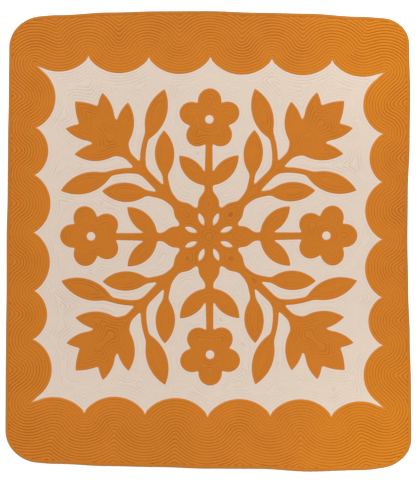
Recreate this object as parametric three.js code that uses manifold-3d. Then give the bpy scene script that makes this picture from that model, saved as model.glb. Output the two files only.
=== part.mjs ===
// A Hawaiian quilt laid out flat, in millimetres, +Z up and +Y towards the top edge.
//
// It has the four pieces that its maker cuts: a cream ground (top, filling and back, which
// the quilting makes one), a scalloped orange border, an orange centre cut in one piece from
// cloth folded in eighths, and a narrow orange binding round the edge. The quilting follows
// the edges of the orange shapes in rows, like ripples, so each row is a line at one distance
// from those edges: the cloth is low at the stitches and high between them.

import * as THREE from 'three';
import Module from 'manifold-3d';

const wasm = await Module();
wasm.setup();

// The quilt's outline: a rectangle with round corners whose edges wander a little.
const HALF_WIDTH = 1005;
const HALF_LENGTH = 1140;
const CORNER_RADIUS = 150;
const CORNER_STEPS = 6;
const EDGE_STEP = 230;
const EDGE_WANDER = {
  left: [
    { at: -940, out: 8 }, { at: -280, out: 3 }, { at: 0, out: 2 }, { at: 320, out: -4 },
    { at: 900, out: -8 },
  ],
  right: [
    { at: -940, out: 12 }, { at: -520, out: 6 }, { at: 0, out: -9 }, { at: 320, out: 0 },
    { at: 900, out: 4 },
  ],
  top: [
    { at: -768, out: -15 }, { at: -528, out: -3 }, { at: -88, out: 8 }, { at: 250, out: 0 },
    { at: 852, out: -25 },
  ],
  bottom: [
    { at: -768, out: -25 }, { at: -168, out: -5 }, { at: 252, out: 3 }, { at: 612, out: 15 },
    { at: 852, out: 0 },
  ],
};

// The border's inner edge, clockwise: each side has six lobes between cusps. A lobe has its
// width from cusp to cusp and the depth of its bulge, and lift is how far the cusp at its
// start stands outside the straight line between the side's two corners.
const SCALLOP_STEPS = 8;
const SCALLOP_SIDES = [
  {
    start: { x: -856, y: 879 },
    lobes: [
      { width: 250, depth: 50, lift: 0 }, { width: 305, depth: 82, lift: 51 },
      { width: 305, depth: 82, lift: 50 }, { width: 310, depth: 82, lift: 55 },
      { width: 300, depth: 82, lift: 52 }, { width: 250, depth: 50, lift: 54 },
    ],
  },
  {
    start: { x: 876, y: 839 },
    lobes: [
      { width: 310, depth: 86, lift: 0 }, { width: 240, depth: 62, lift: -6 },
      { width: 288, depth: 73, lift: -7 }, { width: 285, depth: 73, lift: -12 },
      { width: 240, depth: 66, lift: -13 }, { width: 315, depth: 88, lift: -9 },
    ],
  },
  {
    start: { x: 881, y: -839 },
    lobes: [
      { width: 250, depth: 52, lift: 0 }, { width: 305, depth: 80, lift: 44 },
      { width: 312, depth: 82, lift: 43 }, { width: 310, depth: 82, lift: 57 },
      { width: 305, depth: 80, lift: 47 }, { width: 255, depth: 50, lift: 46 },
    ],
  },
  {
    start: { x: -882, y: -814 },
    lobes: [
      { width: 315, depth: 90, lift: 0 }, { width: 243, depth: 65, lift: -8 },
      { width: 288, depth: 73, lift: -4 }, { width: 285, depth: 73, lift: 3 },
      { width: 243, depth: 63, lift: 0 }, { width: 310, depth: 90, lift: -4 },
    ],
  },
];

// The centre's cutting pattern, drawn for one eighth: each place is a radius from the middle
// and an angle, from 0 on the axis to 45 on the diagonal. Round is the fillet where a shape
// joins the others.
const CENTRE = { x: 7, y: 20 };
const HAND_SHIFT = { by: 4, over: 290 };
const MIDDLE_RADIUS = 150;
const MIDDLE_PETAL = { out: 165, long: 58, wide: 52, round: 26 };
const MIDDLE_WINDOW = { from: [62, 22.5], to: [130, 22.5], half: 13 };
const STEMS = [
  { through: [[100, 45], [400, 45], [700, 45]], start: 24, end: 17, round: 22 },
  { through: [[100, 0], [310, 0], [520, 0]], start: 22, end: 16, round: 22 },
  { through: [[262, 45], [330, 41], [420, 32]], start: 15, end: 12, round: 16 },
  { through: [[455, 45], [540, 40], [618, 29]], start: 14, end: 12, round: 16 },
];
const LEAVES = [
  { from: [560, 45], to: [950, 45], half: 82, round: 16 },
  { from: [615, 45], to: [785, 31.3], half: 44, round: 14 },
  { from: [705, 45], to: [895, 36.8], half: 40, round: 14 },
  { from: [370, 36], to: [578, 23], half: 48, round: 12 },
  { from: [258, 2], to: [432, 20], half: 42, round: 12 },
  { from: [575, 32], to: [772, 17], half: 50, round: 12 },
];
const BLOSSOM = {
  out: 588, heart: 62, eye: 22, petals: 5, petalOut: 92, long: 62, wide: 58, round: 12,
};

// Heights above the floor. Each sheet of cloth lies 0.3 over the ground under it.
const GROUND_HIDDEN = 3.7;
const GROUND_CREST = 6.3;
const SHEET_UNDER = 4;
const SHEET_VALLEY = 5;
const SHEET_CREST = 7;

// The rows of quilting lie a finger's width apart. Every third row is a valley here, with a
// crest midway to the next, and the first crest lies nearer to the cloth's edge. Each count
// is of crests and valleys together, as far as that cloth is deep.
const ROW_PITCH = 15;
const ROW_STEP = 3 * ROW_PITCH / 2;
const FIRST_CREST = 12;
const CREAM_ROWS = 4;
const CENTRE_ROWS = 4;
const BORDER_ROWS = 14;

// The grids on which distances are worked out, how closely the rows and the centre's edge
// are then followed, and the smallest island of a row worth sewing.
const GRID = 7;
const FINE_GRID = 4;
const ROW_TOLERANCE = 3.5;
const EDGE_TOLERANCE = 2.5;
const SMALLEST_ISLAND = 300;

// The binding: a strip folded round the edge, and the ground's edge inside it.
const BINDING_SECTION = [
  { inset: 15, height: 0 }, { inset: 2, height: 0 }, { inset: 0.4, height: 1.2 },
  { inset: 0, height: 3.25 }, { inset: 0.4, height: 5.3 }, { inset: 2, height: 6.5 },
  { inset: 15, height: 6.5 }, { inset: 15, height: 5.3 }, { inset: 1.2, height: 5.3 },
  { inset: 1.2, height: 1.2 }, { inset: 15, height: 1.2 },
];
const RIM_INSET = 1.5;
const RIM_BOTTOM = 1.5;
const RIM_SLOPE_INSET = 16;
const FLOOR_INSET = 24;

// The tool that trims the border to the outline and slopes its rows off at the binding.
const TRIM_SECTION = [
  { inset: RIM_INSET, height: 3 }, { inset: RIM_INSET, height: SHEET_VALLEY },
  { inset: 15.3, height: SHEET_VALLEY }, { inset: 22, height: 7.5 },
];

const ORANGE = '#c8762a';
const CREAM = '#decdb9';

/** The point that lies at a radius from the middle, on one angle. */
function polar([radius, degrees]) {
  const angle = THREE.MathUtils.degToRad(degrees);
  return new THREE.Vector2(radius * Math.cos(angle), radius * Math.sin(angle));
}

/** The smaller of two distances, with a fillet where they are alike. */
function blend(a, b, round) {
  const share = THREE.MathUtils.clamp(0.5 + (b - a) / (2 * round), 0, 1);
  return b + (a - b) * share - round * share * (1 - share);
}

/** Distance to a leaf: two equal arcs that meet in a point at each end. */
function leafDistance(x, y, from, to, half) {
  const length = from.distanceTo(to);
  const radius = (length * length / 4 + half * half) / (2 * half);
  const back = radius - half;
  const alongX = (to.x - from.x) / length;
  const alongY = (to.y - from.y) / length;
  const offsetX = x - (from.x + to.x) / 2;
  const offsetY = y - (from.y + to.y) / 2;
  const along = Math.abs(offsetX * alongX + offsetY * alongY);
  const across = Math.abs(offsetY * alongX - offsetX * alongY);
  if ((along - length / 2) * back > across * length / 2) {
    return Math.hypot(along - length / 2, across);
  }
  return Math.hypot(along, across + back) - radius;
}

/** Distance to an oval petal, whose length points away from the given middle. */
function petalDistance(x, y, middle, out, degrees, long, wide) {
  const angle = THREE.MathUtils.degToRad(degrees);
  const cos = Math.cos(angle);
  const sin = Math.sin(angle);
  const offsetX = x - middle - out * cos;
  const offsetY = y - out * sin;
  const along = offsetX * cos + offsetY * sin;
  const across = offsetY * cos - offsetX * sin;
  return (Math.hypot(along / long, across / wide) - 1) * wide;
}

/** Distance to a stem: a smooth path whose half width goes from start to end. */
function stemDistance(x, y, path, start, end) {
  let nearest = Infinity;
  for (let i = 0; i + 1 < path.length; i += 1) {
    const a = path[i];
    const b = path[i + 1];
    const lengthSquared = a.distanceToSquared(b);
    const dot = (x - a.x) * (b.x - a.x) + (y - a.y) * (b.y - a.y);
    const share = THREE.MathUtils.clamp(dot / lengthSquared, 0, 1);
    const away = Math.hypot(x - a.x - share * (b.x - a.x), y - a.y - share * (b.y - a.y));
    const halfWidth = start + (end - start) * (i + share) / (path.length - 1);
    nearest = Math.min(nearest, away - halfWidth);
  }
  return nearest;
}

const stems = STEMS.map(({ through, ...stem }) => ({
  ...stem,
  path: new THREE.QuadraticBezierCurve(...through.map(polar)).getPoints(6),
}));
const leaves = LEAVES.map(({ from, to, ...leaf }) => ({ ...leaf, from: polar(from), to: polar(to) }));

/** The centre's cutting pattern: less than 0 on the orange cloth, more than 0 off it. */
function patternDistance(px, py) {
  const wanderX = HAND_SHIFT.by * Math.sin(py / HAND_SHIFT.over + 1);
  const wanderY = HAND_SHIFT.by * Math.sin(px / HAND_SHIFT.over + 2);
  const foldedX = Math.abs(px - CENTRE.x + wanderX);
  const foldedY = Math.abs(py - CENTRE.y + wanderY);
  const x = Math.max(foldedX, foldedY);
  const y = Math.min(foldedX, foldedY);

  let distance = Math.hypot(x, y) - MIDDLE_RADIUS;
  for (const degrees of [0, 45]) {
    const { out, long, wide, round } = MIDDLE_PETAL;
    distance = blend(distance, petalDistance(x, y, 0, out, degrees, long, wide), round);
  }
  for (const { path, start, end, round } of stems) {
    distance = blend(distance, stemDistance(x, y, path, start, end), round);
  }
  for (const { from, to, half, round } of leaves) {
    distance = blend(distance, leafDistance(x, y, from, to, half), round);
  }
  let blossom = Math.hypot(x - BLOSSOM.out, y) - BLOSSOM.heart;
  for (let petal = 0; petal < BLOSSOM.petals; petal += 1) {
    const degrees = 360 * petal / BLOSSOM.petals;
    const { out, petalOut, long, wide, round } = BLOSSOM;
    blossom = blend(blossom, petalDistance(x, y, out, petalOut, degrees, long, wide), round);
  }
  distance = blend(distance, blossom, BLOSSOM.round);

  const eye = BLOSSOM.eye - Math.hypot(x - BLOSSOM.out, y);
  const { from, to, half } = MIDDLE_WINDOW;
  const window = -leafDistance(x, y, polar(from), polar(to), half);
  return Math.max(distance, eye, window);
}

/** Reads a table of places along an edge, smoothly from row to row. */
function wander(table, at) {
  const after = table.findIndex((row) => row.at > at);
  if (after === 0) return table[0].out;
  if (after < 0) return table[table.length - 1].out;
  const low = table[after - 1];
  const high = table[after];
  return low.out + (high.out - low.out) * THREE.MathUtils.smoothstep(at, low.at, high.at);
}

/** The quilt's outline, anticlockwise from the right end of the bottom edge. */
function quiltOutline() {
  const corners = [
    { x: 1, y: -1, from: -90 }, { x: 1, y: 1, from: 0 },
    { x: -1, y: 1, from: 90 }, { x: -1, y: -1, from: 180 },
  ];
  const points = [];
  corners.forEach((corner, index) => {
    const middleX = corner.x * (HALF_WIDTH - CORNER_RADIUS);
    const middleY = corner.y * (HALF_LENGTH - CORNER_RADIUS);
    for (let i = 0; i <= CORNER_STEPS; i += 1) {
      const angle = THREE.MathUtils.degToRad(corner.from + 90 * i / CORNER_STEPS);
      points.push(new THREE.Vector2(
        middleX + CORNER_RADIUS * Math.cos(angle),
        middleY + CORNER_RADIUS * Math.sin(angle),
      ));
    }
    const start = points[points.length - 1];
    const next = corners[(index + 1) % corners.length];
    const end = new THREE.Vector2(
      next.x * (next.x === corner.x ? HALF_WIDTH : HALF_WIDTH - CORNER_RADIUS),
      next.y * (next.y === corner.y ? HALF_LENGTH : HALF_LENGTH - CORNER_RADIUS),
    );
    const steps = Math.round(start.distanceTo(end) / EDGE_STEP);
    for (let i = 1; i < steps; i += 1) points.push(start.clone().lerp(end, i / steps));
  });
  return points.map(({ x, y }) => {
    const sideways = x > 0 ? wander(EDGE_WANDER.right, y) : -wander(EDGE_WANDER.left, y);
    const upwards = y > 0 ? wander(EDGE_WANDER.top, x) : -wander(EDGE_WANDER.bottom, x);
    return new THREE.Vector2(
      x + sideways * Math.abs(x) / HALF_WIDTH,
      y + upwards * Math.abs(y) / HALF_LENGTH,
    );
  });
}

/** The outline moved inwards by one distance. */
function insetLoop(loop, distance) {
  return loop.map((point, i) => {
    const before = loop[(i + loop.length - 1) % loop.length];
    const after = loop[(i + 1) % loop.length];
    const along = after.clone().sub(before).normalize();
    return new THREE.Vector2(point.x - along.y * distance, point.y + along.x * distance);
  });
}

/** The border's scalloped inner edge, clockwise, with the border on its left. */
function scallopLoop() {
  const points = [];
  SCALLOP_SIDES.forEach(({ start, lobes }, index) => {
    const from = new THREE.Vector2(start.x, start.y);
    const next = SCALLOP_SIDES[(index + 1) % SCALLOP_SIDES.length].start;
    const along = new THREE.Vector2(next.x, next.y).sub(from);
    const outwards = new THREE.Vector2(-along.y, along.x).normalize();
    const total = lobes.reduce((sum, { width }) => sum + width, 0);
    const cusp = (count) => {
      const done = lobes.slice(0, count).reduce((sum, { width }) => sum + width, 0);
      const lift = count < lobes.length ? lobes[count].lift : 0;
      return from.clone().addScaledVector(along, done / total).addScaledVector(outwards, lift);
    };
    lobes.forEach(({ depth }, i) => points.push(...lobeArc(cusp(i), cusp(i + 1), depth)));
  });
  return points;
}

/** One lobe: an arc from cusp to cusp that bulges to the right, without its last point. */
function lobeArc(from, to, depth) {
  const chord = to.clone().sub(from);
  const width = chord.length();
  const radius = (width * width / 4 + depth * depth) / (2 * depth);
  const reach = 2 * Math.atan(2 * depth / width);
  const along = chord.divideScalar(width);
  const left = new THREE.Vector2(-along.y, along.x);
  const middle = from.clone().add(to).multiplyScalar(0.5).addScaledVector(left, radius - depth);
  return Array.from({ length: SCALLOP_STEPS }, (_, i) => {
    const angle = reach * (2 * i / SCALLOP_STEPS - 1);
    return middle.clone()
      .addScaledVector(along, radius * Math.sin(angle))
      .addScaledVector(left, -radius * Math.cos(angle));
  });
}

/** Values of a function of x and y on a square grid that covers a box. */
function sample(box, step, value) {
  const columns = Math.ceil((box.max.x - box.min.x) / step) + 1;
  const rows = Math.ceil((box.max.y - box.min.y) / step) + 1;
  const values = new Float64Array(columns * rows);
  for (let row = 0; row < rows; row += 1) {
    for (let column = 0; column < columns; column += 1) {
      values[row * columns + column] = value(box.min.x + column * step, box.min.y + row * step);
    }
  }
  return { columns, rows, step, left: box.min.x, bottom: box.min.y, values };
}

// For each way in which a square's four corners can be above the level, the sides that the
// level's line enters and leaves by: 0 bottom, 1 right, 2 top, 3 left. Higher is on the left.
const CROSSINGS = [
  [], [[0, 3]], [[1, 0]], [[1, 3]], [[2, 1]], [[0, 3], [2, 1]], [[2, 0]], [[2, 3]],
  [[3, 2]], [[0, 2]], [[1, 0], [3, 2]], [[1, 2]], [[3, 1]], [[0, 1]], [[3, 0]], [],
];

/** The closed lines on which a grid has one value, with higher values on their left. */
function contour({ columns, rows, step, left, bottom, values }, level) {
  const sideOf = (column, row, upright) => 2 * (row * columns + column) + upright;
  const next = new Map();
  for (let row = 0; row + 1 < rows; row += 1) {
    for (let column = 0; column + 1 < columns; column += 1) {
      const corner = row * columns + column;
      const above = (values[corner] > level ? 1 : 0)
        + (values[corner + 1] > level ? 2 : 0)
        + (values[corner + columns + 1] > level ? 4 : 0)
        + (values[corner + columns] > level ? 8 : 0);
      const sides = [
        sideOf(column, row, 0), sideOf(column + 1, row, 1),
        sideOf(column, row + 1, 0), sideOf(column, row, 1),
      ];
      for (const [enter, leave] of CROSSINGS[above]) next.set(sides[enter], sides[leave]);
    }
  }
  const pointOn = (side) => {
    const upright = side % 2;
    const corner = (side - upright) / 2;
    const low = values[corner];
    const high = values[corner + (upright ? columns : 1)];
    const share = (level - low) / (high - low);
    const column = corner % columns + (upright ? 0 : share);
    const row = Math.floor(corner / columns) + (upright ? share : 0);
    return new THREE.Vector2(left + column * step, bottom + row * step);
  };
  const loops = [];
  while (next.size > 0) {
    const loop = [];
    let side = next.keys().next().value;
    while (next.has(side)) {
      const following = next.get(side);
      next.delete(side);
      loop.push(pointOn(side));
      side = following;
    }
    loops.push(loop);
  }
  return loops.filter((loop) => Math.abs(THREE.ShapeUtils.area(loop)) > SMALLEST_ISLAND);
}

/** Whether a loop stays near the straight line between two of its places. */
function staysNear(loop, from, to, tolerance) {
  const first = loop[from];
  const along = loop[to % loop.length].clone().sub(first).normalize();
  for (let i = from + 1; i < to; i += 1) {
    if (Math.abs(loop[i].clone().sub(first).cross(along)) > tolerance) return false;
  }
  return true;
}

/** Thins a closed loop: from its outermost point on, each side is as long as it can be. */
function thinLoop(loop, tolerance) {
  const middle = new THREE.Box2().setFromPoints(loop).getCenter(new THREE.Vector2());
  const reach = loop.map((point) => point.distanceTo(middle));
  const start = reach.indexOf(Math.max(...reach));
  const turned = [...loop.slice(start), ...loop.slice(0, start)];
  const kept = [];
  let from = 0;
  while (from < turned.length) {
    kept.push(turned[from]);
    let to = from + 1;
    while (to < turned.length && staysNear(turned, from, to + 1, tolerance)) to += 1;
    from = to;
  }
  return kept;
}

/** Whether two lines, a to b and c to d, cross. */
function cross(a, b, c, d) {
  if (Math.max(a.x, b.x) < Math.min(c.x, d.x) || Math.max(c.x, d.x) < Math.min(a.x, b.x)) return false;
  if (Math.max(a.y, b.y) < Math.min(c.y, d.y) || Math.max(c.y, d.y) < Math.min(a.y, b.y)) return false;
  const side = (p, q, r) => Math.sign((q.x - p.x) * (r.y - p.y) - (q.y - p.y) * (r.x - p.x));
  return side(a, b, c) !== side(a, b, d) && side(c, d, a) !== side(c, d, b);
}

/** Whether two loops, or a loop and itself, cross anywhere. */
function loopsCross(one, other) {
  for (let i = 0; i < one.length; i += 1) {
    for (let j = one === other ? i + 2 : 0; j < other.length; j += 1) {
      if (one === other && (j + 1) % one.length === i) continue;
      if (cross(one[i], one[(i + 1) % one.length], other[j], other[(j + 1) % other.length])) return true;
    }
  }
  return false;
}

/** Thins the loops of one level, more gently where they would cross. */
function thin(loops, tolerance) {
  const allowed = loops.map(() => tolerance);
  const thinned = loops.map((loop) => thinLoop(loop, tolerance));
  let clear = false;
  while (!clear) {
    clear = true;
    for (let i = 0; i < loops.length; i += 1) {
      for (let j = i; j < loops.length; j += 1) {
        if (!loopsCross(thinned[i], thinned[j])) continue;
        clear = false;
        for (const k of new Set([i, j])) {
          allowed[k] /= 2;
          thinned[k] = thinLoop(loops[k], allowed[k]);
        }
      }
    }
  }
  return thinned;
}

/** Distance from a point to the nearest line of some loops. */
function distanceToLoops(loops) {
  const lines = loops.flatMap((loop) => loop.map((a, i) => {
    const b = loop[(i + 1) % loop.length];
    return { x: a.x, y: a.y, dx: b.x - a.x, dy: b.y - a.y, squared: a.distanceToSquared(b) };
  }));
  return (x, y) => {
    let nearest = Infinity;
    for (const line of lines) {
      const offsetX = x - line.x;
      const offsetY = y - line.y;
      const dot = (offsetX * line.dx + offsetY * line.dy) / line.squared;
      const share = Math.min(1, Math.max(0, dot));
      const awayX = offsetX - share * line.dx;
      const awayY = offsetY - share * line.dy;
      nearest = Math.min(nearest, awayX * awayX + awayY * awayY);
    }
    return Math.sqrt(nearest);
  };
}

/** Whether a point lies inside a loop. */
function inside(loop, x, y) {
  let odd = false;
  for (let i = 0, j = loop.length - 1; i < loop.length; j = i, i += 1) {
    const a = loop[i];
    const b = loop[j];
    if ((a.y > y) !== (b.y > y) && x < (b.x - a.x) * (y - a.y) / (b.y - a.y) + a.x) odd = !odd;
  }
  return odd;
}

/** The points and triangles of one closed piece, gathered face by face. */
class Shell {
  constructor() {
    this.points = [];
    this.triangles = [];
  }

  /** Adds a loop at one height and returns it with its points' numbers. */
  ring(loop, height) {
    const first = this.points.length;
    for (const { x, y } of loop) this.points.push([x, y, height]);
    return { loop, numbers: loop.map((_, i) => first + i) };
  }

  /** Joins two rings of equal length, facing right of the way they run. */
  wall(lower, upper) {
    lower.numbers.forEach((corner, i) => {
      const j = (i + 1) % lower.numbers.length;
      this.triangles.push([corner, lower.numbers[j], upper.numbers[j]]);
      this.triangles.push([corner, upper.numbers[j], upper.numbers[i]]);
    });
  }

  /** Fills the region on the left of all the rings, which may lie at several heights. */
  fill(rings, facing = 1) {
    const area = ({ loop }) => THREE.ShapeUtils.area(loop);
    const outers = rings.filter((ring) => area(ring) > 0)
      .sort((a, b) => area(a) - area(b))
      .map((ring) => ({ ...ring, holes: [] }));
    for (const hole of rings.filter((ring) => area(ring) < 0)) {
      const { x, y } = hole.loop[0];
      outers.find(({ loop }) => inside(loop, x, y)).holes.push(hole);
    }
    for (const outer of outers) {
      const loops = [outer, ...outer.holes];
      const numbers = loops.flatMap((ring) => ring.numbers);
      const corners = loops.flatMap((ring) => ring.loop);
      const faces = THREE.ShapeUtils.triangulateShape(outer.loop, outer.holes.map(({ loop }) => loop));
      for (const [a, b, c] of faces) {
        const turn = THREE.ShapeUtils.area([corners[a], corners[b], corners[c]]) * facing;
        const [second, third] = turn > 0 ? [b, c] : [c, b];
        this.triangles.push([numbers[a], numbers[second], numbers[third]]);
      }
    }
  }

  geometry() {
    const geometry = new THREE.BufferGeometry();
    geometry.setAttribute('position', new THREE.Float32BufferAttribute(this.points.flat(), 3));
    geometry.setIndex(this.triangles.flat());
    return geometry;
  }
}

/** The same ring, run the other way round. */
function reversed({ loop, numbers }) {
  return { loop: [...loop].reverse(), numbers: [...numbers].reverse() };
}

/** Raises the rows of quilting inwards from some rings, and returns the last row's rings. */
function raiseRows(shell, rings, depths, rows) {
  let outer = rings;
  for (const { depth, height } of rows) {
    const loops = thin(contour(depths, depth), ROW_TOLERANCE);
    const inner = loops.map((loop) => shell.ring(loop, height));
    shell.fill([...outer, ...inner.map(reversed)]);
    outer = inner;
  }
  return outer;
}

/** Distances and heights of the rows: a crest first, then a valley, and so on. */
function rowTable(count, valley, crest) {
  return Array.from({ length: count }, (_, i) => ({
    depth: FIRST_CREST + i * ROW_STEP,
    height: i % 2 === 0 ? crest : valley,
  }));
}

/** A box that holds a loop, with a margin. */
function boxAround(loop, margin) {
  return new THREE.Box2().setFromPoints(loop).expandByScalar(margin);
}

const outline = quiltOutline();
const scallops = scallopLoop();
const creamOutline = [...scallops].reverse();
const toScallops = distanceToLoops([scallops]);
const pattern = sample(boxAround(scallops, 0), FINE_GRID, (x, y) => -patternDistance(x, y));
const centreLoops = thin(contour(pattern, 0), EDGE_TOLERANCE);
const toCentre = distanceToLoops(centreLoops);

/** The ground: cream top, filling and back, quilted where no orange cloth covers it. */
function groundGeometry() {
  const shell = new Shell();
  const floor = shell.ring(insetLoop(outline, FLOOR_INSET), 0);
  const slope = shell.ring(insetLoop(outline, RIM_SLOPE_INSET), RIM_BOTTOM);
  const rim = shell.ring(insetLoop(outline, RIM_INSET), RIM_BOTTOM);
  const rimTop = shell.ring(rim.loop, GROUND_HIDDEN);
  shell.fill([floor], -1);
  shell.wall(floor, slope);
  shell.wall(slope, rim);
  shell.wall(rim, rimTop);

  const cream = shell.ring(creamOutline, GROUND_HIDDEN);
  const underCentre = centreLoops.map((loop) => shell.ring(loop, GROUND_HIDDEN));
  shell.fill([rimTop, reversed(cream)]);
  shell.fill(underCentre);
  const depths = sample(boxAround(scallops, 0), GRID, (x, y) => {
    const open = inside(creamOutline, x, y) && patternDistance(x, y) > 0;
    return (open ? 1 : -1) * Math.min(toScallops(x, y), toCentre(x, y));
  });
  const rows = rowTable(CREAM_ROWS, GROUND_HIDDEN, GROUND_CREST);
  shell.fill(raiseRows(shell, [cream, ...underCentre.map(reversed)], depths, rows));
  return shell.geometry();
}

/** The centre: one piece of orange cloth, with rows that echo its own edge. */
function centreGeometry() {
  const shell = new Shell();
  const under = centreLoops.map((loop) => shell.ring(loop, SHEET_UNDER));
  const edge = centreLoops.map((loop) => shell.ring(loop, SHEET_VALLEY));
  shell.fill(under, -1);
  under.forEach((ring, i) => shell.wall(ring, edge[i]));
  const depths = sample(boxAround(centreLoops.flat(), GRID), GRID, (x, y) => (
    patternDistance(x, y) < 0 ? toCentre(x, y) : -toCentre(x, y)
  ));
  const rows = rowTable(CENTRE_ROWS, SHEET_VALLEY, SHEET_CREST);
  shell.fill(raiseRows(shell, edge, depths, rows));
  return shell.geometry();
}

/** A stack of insets of the outline, closed at both ends. */
function stackGeometry(section) {
  const shell = new Shell();
  const rings = section.map(({ inset, height }) => shell.ring(insetLoop(outline, inset), height));
  for (let i = 0; i + 1 < rings.length; i += 1) shell.wall(rings[i], rings[i + 1]);
  shell.fill([rings[0]], -1);
  shell.fill([rings[rings.length - 1]]);
  return shell.geometry();
}

/** The binding: its section carried round the outline. */
function bindingGeometry() {
  const shell = new Shell();
  const rings = BINDING_SECTION.map(({ inset, height }) => shell.ring(insetLoop(outline, inset), height));
  rings.forEach((ring, i) => shell.wall(ring, rings[(i + 1) % rings.length]));
  return shell.geometry();
}

function toSolid(geometry) {
  return new wasm.Manifold(new wasm.Mesh({
    numProp: 3,
    vertProperties: new Float32Array(geometry.attributes.position.array),
    triVerts: new Uint32Array(geometry.index.array),
  }));
}

function toGeometry(solid) {
  const { vertProperties, triVerts } = solid.getMesh();
  const geometry = new THREE.BufferGeometry();
  geometry.setAttribute('position', new THREE.BufferAttribute(vertProperties, 3));
  geometry.setIndex(new THREE.BufferAttribute(triVerts, 1));
  return geometry;
}

/** The border: rows that echo the scallops outwards, cut off at the quilt's outline. */
function borderGeometry() {
  const shell = new Shell();
  const reach = FIRST_CREST + BORDER_ROWS * ROW_STEP;
  const depths = sample(boxAround(scallops, reach), GRID, (x, y) => (
    inside(creamOutline, x, y) ? -toScallops(x, y) : toScallops(x, y)
  ));
  const edge = shell.ring(scallops, SHEET_VALLEY);
  const under = shell.ring(scallops, SHEET_UNDER);
  shell.wall(under, edge);
  const rows = rowTable(BORDER_ROWS, SHEET_VALLEY, SHEET_CREST);
  const [last] = raiseRows(shell, [edge], depths, rows).map(reversed);
  const lastUnder = shell.ring(last.loop, SHEET_UNDER);
  shell.wall(lastUnder, last);
  shell.fill([lastUnder, under], -1);
  return toGeometry(toSolid(shell.geometry()).intersect(toSolid(stackGeometry(TRIM_SECTION))));
}

/** One named piece of cloth. */
function piece(name, geometry, color) {
  geometry.computeVertexNormals();
  const mesh = new THREE.Mesh(
    geometry,
    new THREE.MeshStandardMaterial({ color, roughness: 0.9, metalness: 0, flatShading: true }),
  );
  mesh.name = name;
  return mesh;
}

const quilt = new THREE.Group();
quilt.add(
  piece('quilted_ground', groundGeometry(), CREAM),
  piece('border_applique', borderGeometry(), ORANGE),
  piece('centre_applique', centreGeometry(), ORANGE),
  piece('edge_binding', bindingGeometry(), ORANGE),
);

// The origin is on the floor, under the middle of the outline's box.
const middle = new THREE.Box2().setFromPoints(outline).getCenter(new THREE.Vector2());
quilt.position.set(-middle.x, -middle.y, 0);

export default quilt;
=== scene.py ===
# %% [markdown]
# # A Hawaiian quilt, laid out flat
#
# The real thing is four pieces of cotton cloth and a thin filling. A cream ground is the top, the filling
# and the back in one. A wide orange border with a scalloped inner edge is sewn on it, and so is an orange
# centre, cut in one go from cloth that was folded in eighths. A narrow orange strip, the binding, is folded
# round the edge.
#
# What makes such a quilt is its quilting. Rows of running stitch follow the edges of the orange cloth at
# one finger's width, then at two, and so on, like ripples round a stone, so this script works out one thing
# first: how far every place on the quilt is from the nearest orange edge. The rows, the cloth's puffs
# between them and the stitches all follow from that one distance.

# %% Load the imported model
import math
from collections import namedtuple

import bpy
import numpy as np
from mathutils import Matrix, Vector
from mathutils.bvhtree import BVHTree
from mathutils.geometry import delaunay_2d_cdt


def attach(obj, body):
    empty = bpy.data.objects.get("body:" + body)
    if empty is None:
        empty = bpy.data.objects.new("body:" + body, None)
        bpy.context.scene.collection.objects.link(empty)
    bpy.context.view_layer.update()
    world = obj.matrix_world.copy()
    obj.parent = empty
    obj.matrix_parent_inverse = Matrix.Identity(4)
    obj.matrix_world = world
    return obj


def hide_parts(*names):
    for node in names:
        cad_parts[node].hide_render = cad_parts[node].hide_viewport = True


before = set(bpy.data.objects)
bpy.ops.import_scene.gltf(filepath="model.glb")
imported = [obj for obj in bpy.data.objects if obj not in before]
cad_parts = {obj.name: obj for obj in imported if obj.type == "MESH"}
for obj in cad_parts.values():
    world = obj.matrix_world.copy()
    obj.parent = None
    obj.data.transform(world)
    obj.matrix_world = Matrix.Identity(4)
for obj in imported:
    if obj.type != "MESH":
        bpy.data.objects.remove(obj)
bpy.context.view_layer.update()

# %% [markdown]
# ## The outline
#
# The quilt is a rectangle with round corners, but no sewn thing is quite true: each edge wanders a few
# millimetres in and out, and the corners droop. A short table says how far each edge stands out at equal
# steps along it, and the outline is pulled by it. Lengths are written in millimetres, as on a cutting
# table, and turned into metres by one factor.

# %% Sizes of the outline
MM = 0.001
HALF_WIDTH = 1006 * MM
HALF_LENGTH = 1141 * MM
CORNER_STEPS = 12
OUTLINE_STEP = 9 * MM

# Anticlockwise: the side that the corner is on in x and in y, and its radius.
CORNERS = [(1, -1, 131 * MM), (1, 1, 124 * MM), (-1, 1, 147 * MM), (-1, -1, 151 * MM)]
# How far each edge stands out, in millimetres, from its left or lower end to the other.
WANDER_PLACES = np.linspace(-1, 1, 9)
EDGE_WANDER = {
    "left": [7, 6, 4, 1, 1, -4, -6, -10, -12],
    "right": [11, 9, 3, -5, -9, -7, 2, 5, 0],
    "top": [-33, -15, -2, 4, 5, -3, -8, -23, -38],
    "bottom": [-41, -23, -12, -7, 1, 2, 16, 9, -19],
}


def wander(edge, at):
    """How far an edge stands out at some places along it, smoothly from step to step of its table."""
    out = np.array(EDGE_WANDER[edge]) * MM
    step = np.clip(np.searchsorted(WANDER_PLACES, at) - 1, 0, len(out) - 2)
    share = np.clip((at - WANDER_PLACES[step]) / (WANDER_PLACES[1] - WANDER_PLACES[0]), 0, 1)
    return out[step] + (out[step + 1] - out[step]) * share * share * (3 - 2 * share)


def evenly(loop, step):
    """The same closed line, with its points at equal steps."""
    ring = np.vstack([loop, loop[:1]])
    along = np.append(0, np.cumsum(np.hypot(*np.diff(ring, axis=0).T)))
    count = max(4, round(along[-1] / step))
    places = np.arange(count) * along[-1] / count
    return np.stack([np.interp(places, along, ring[:, axis]) for axis in (0, 1)], 1)


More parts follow.
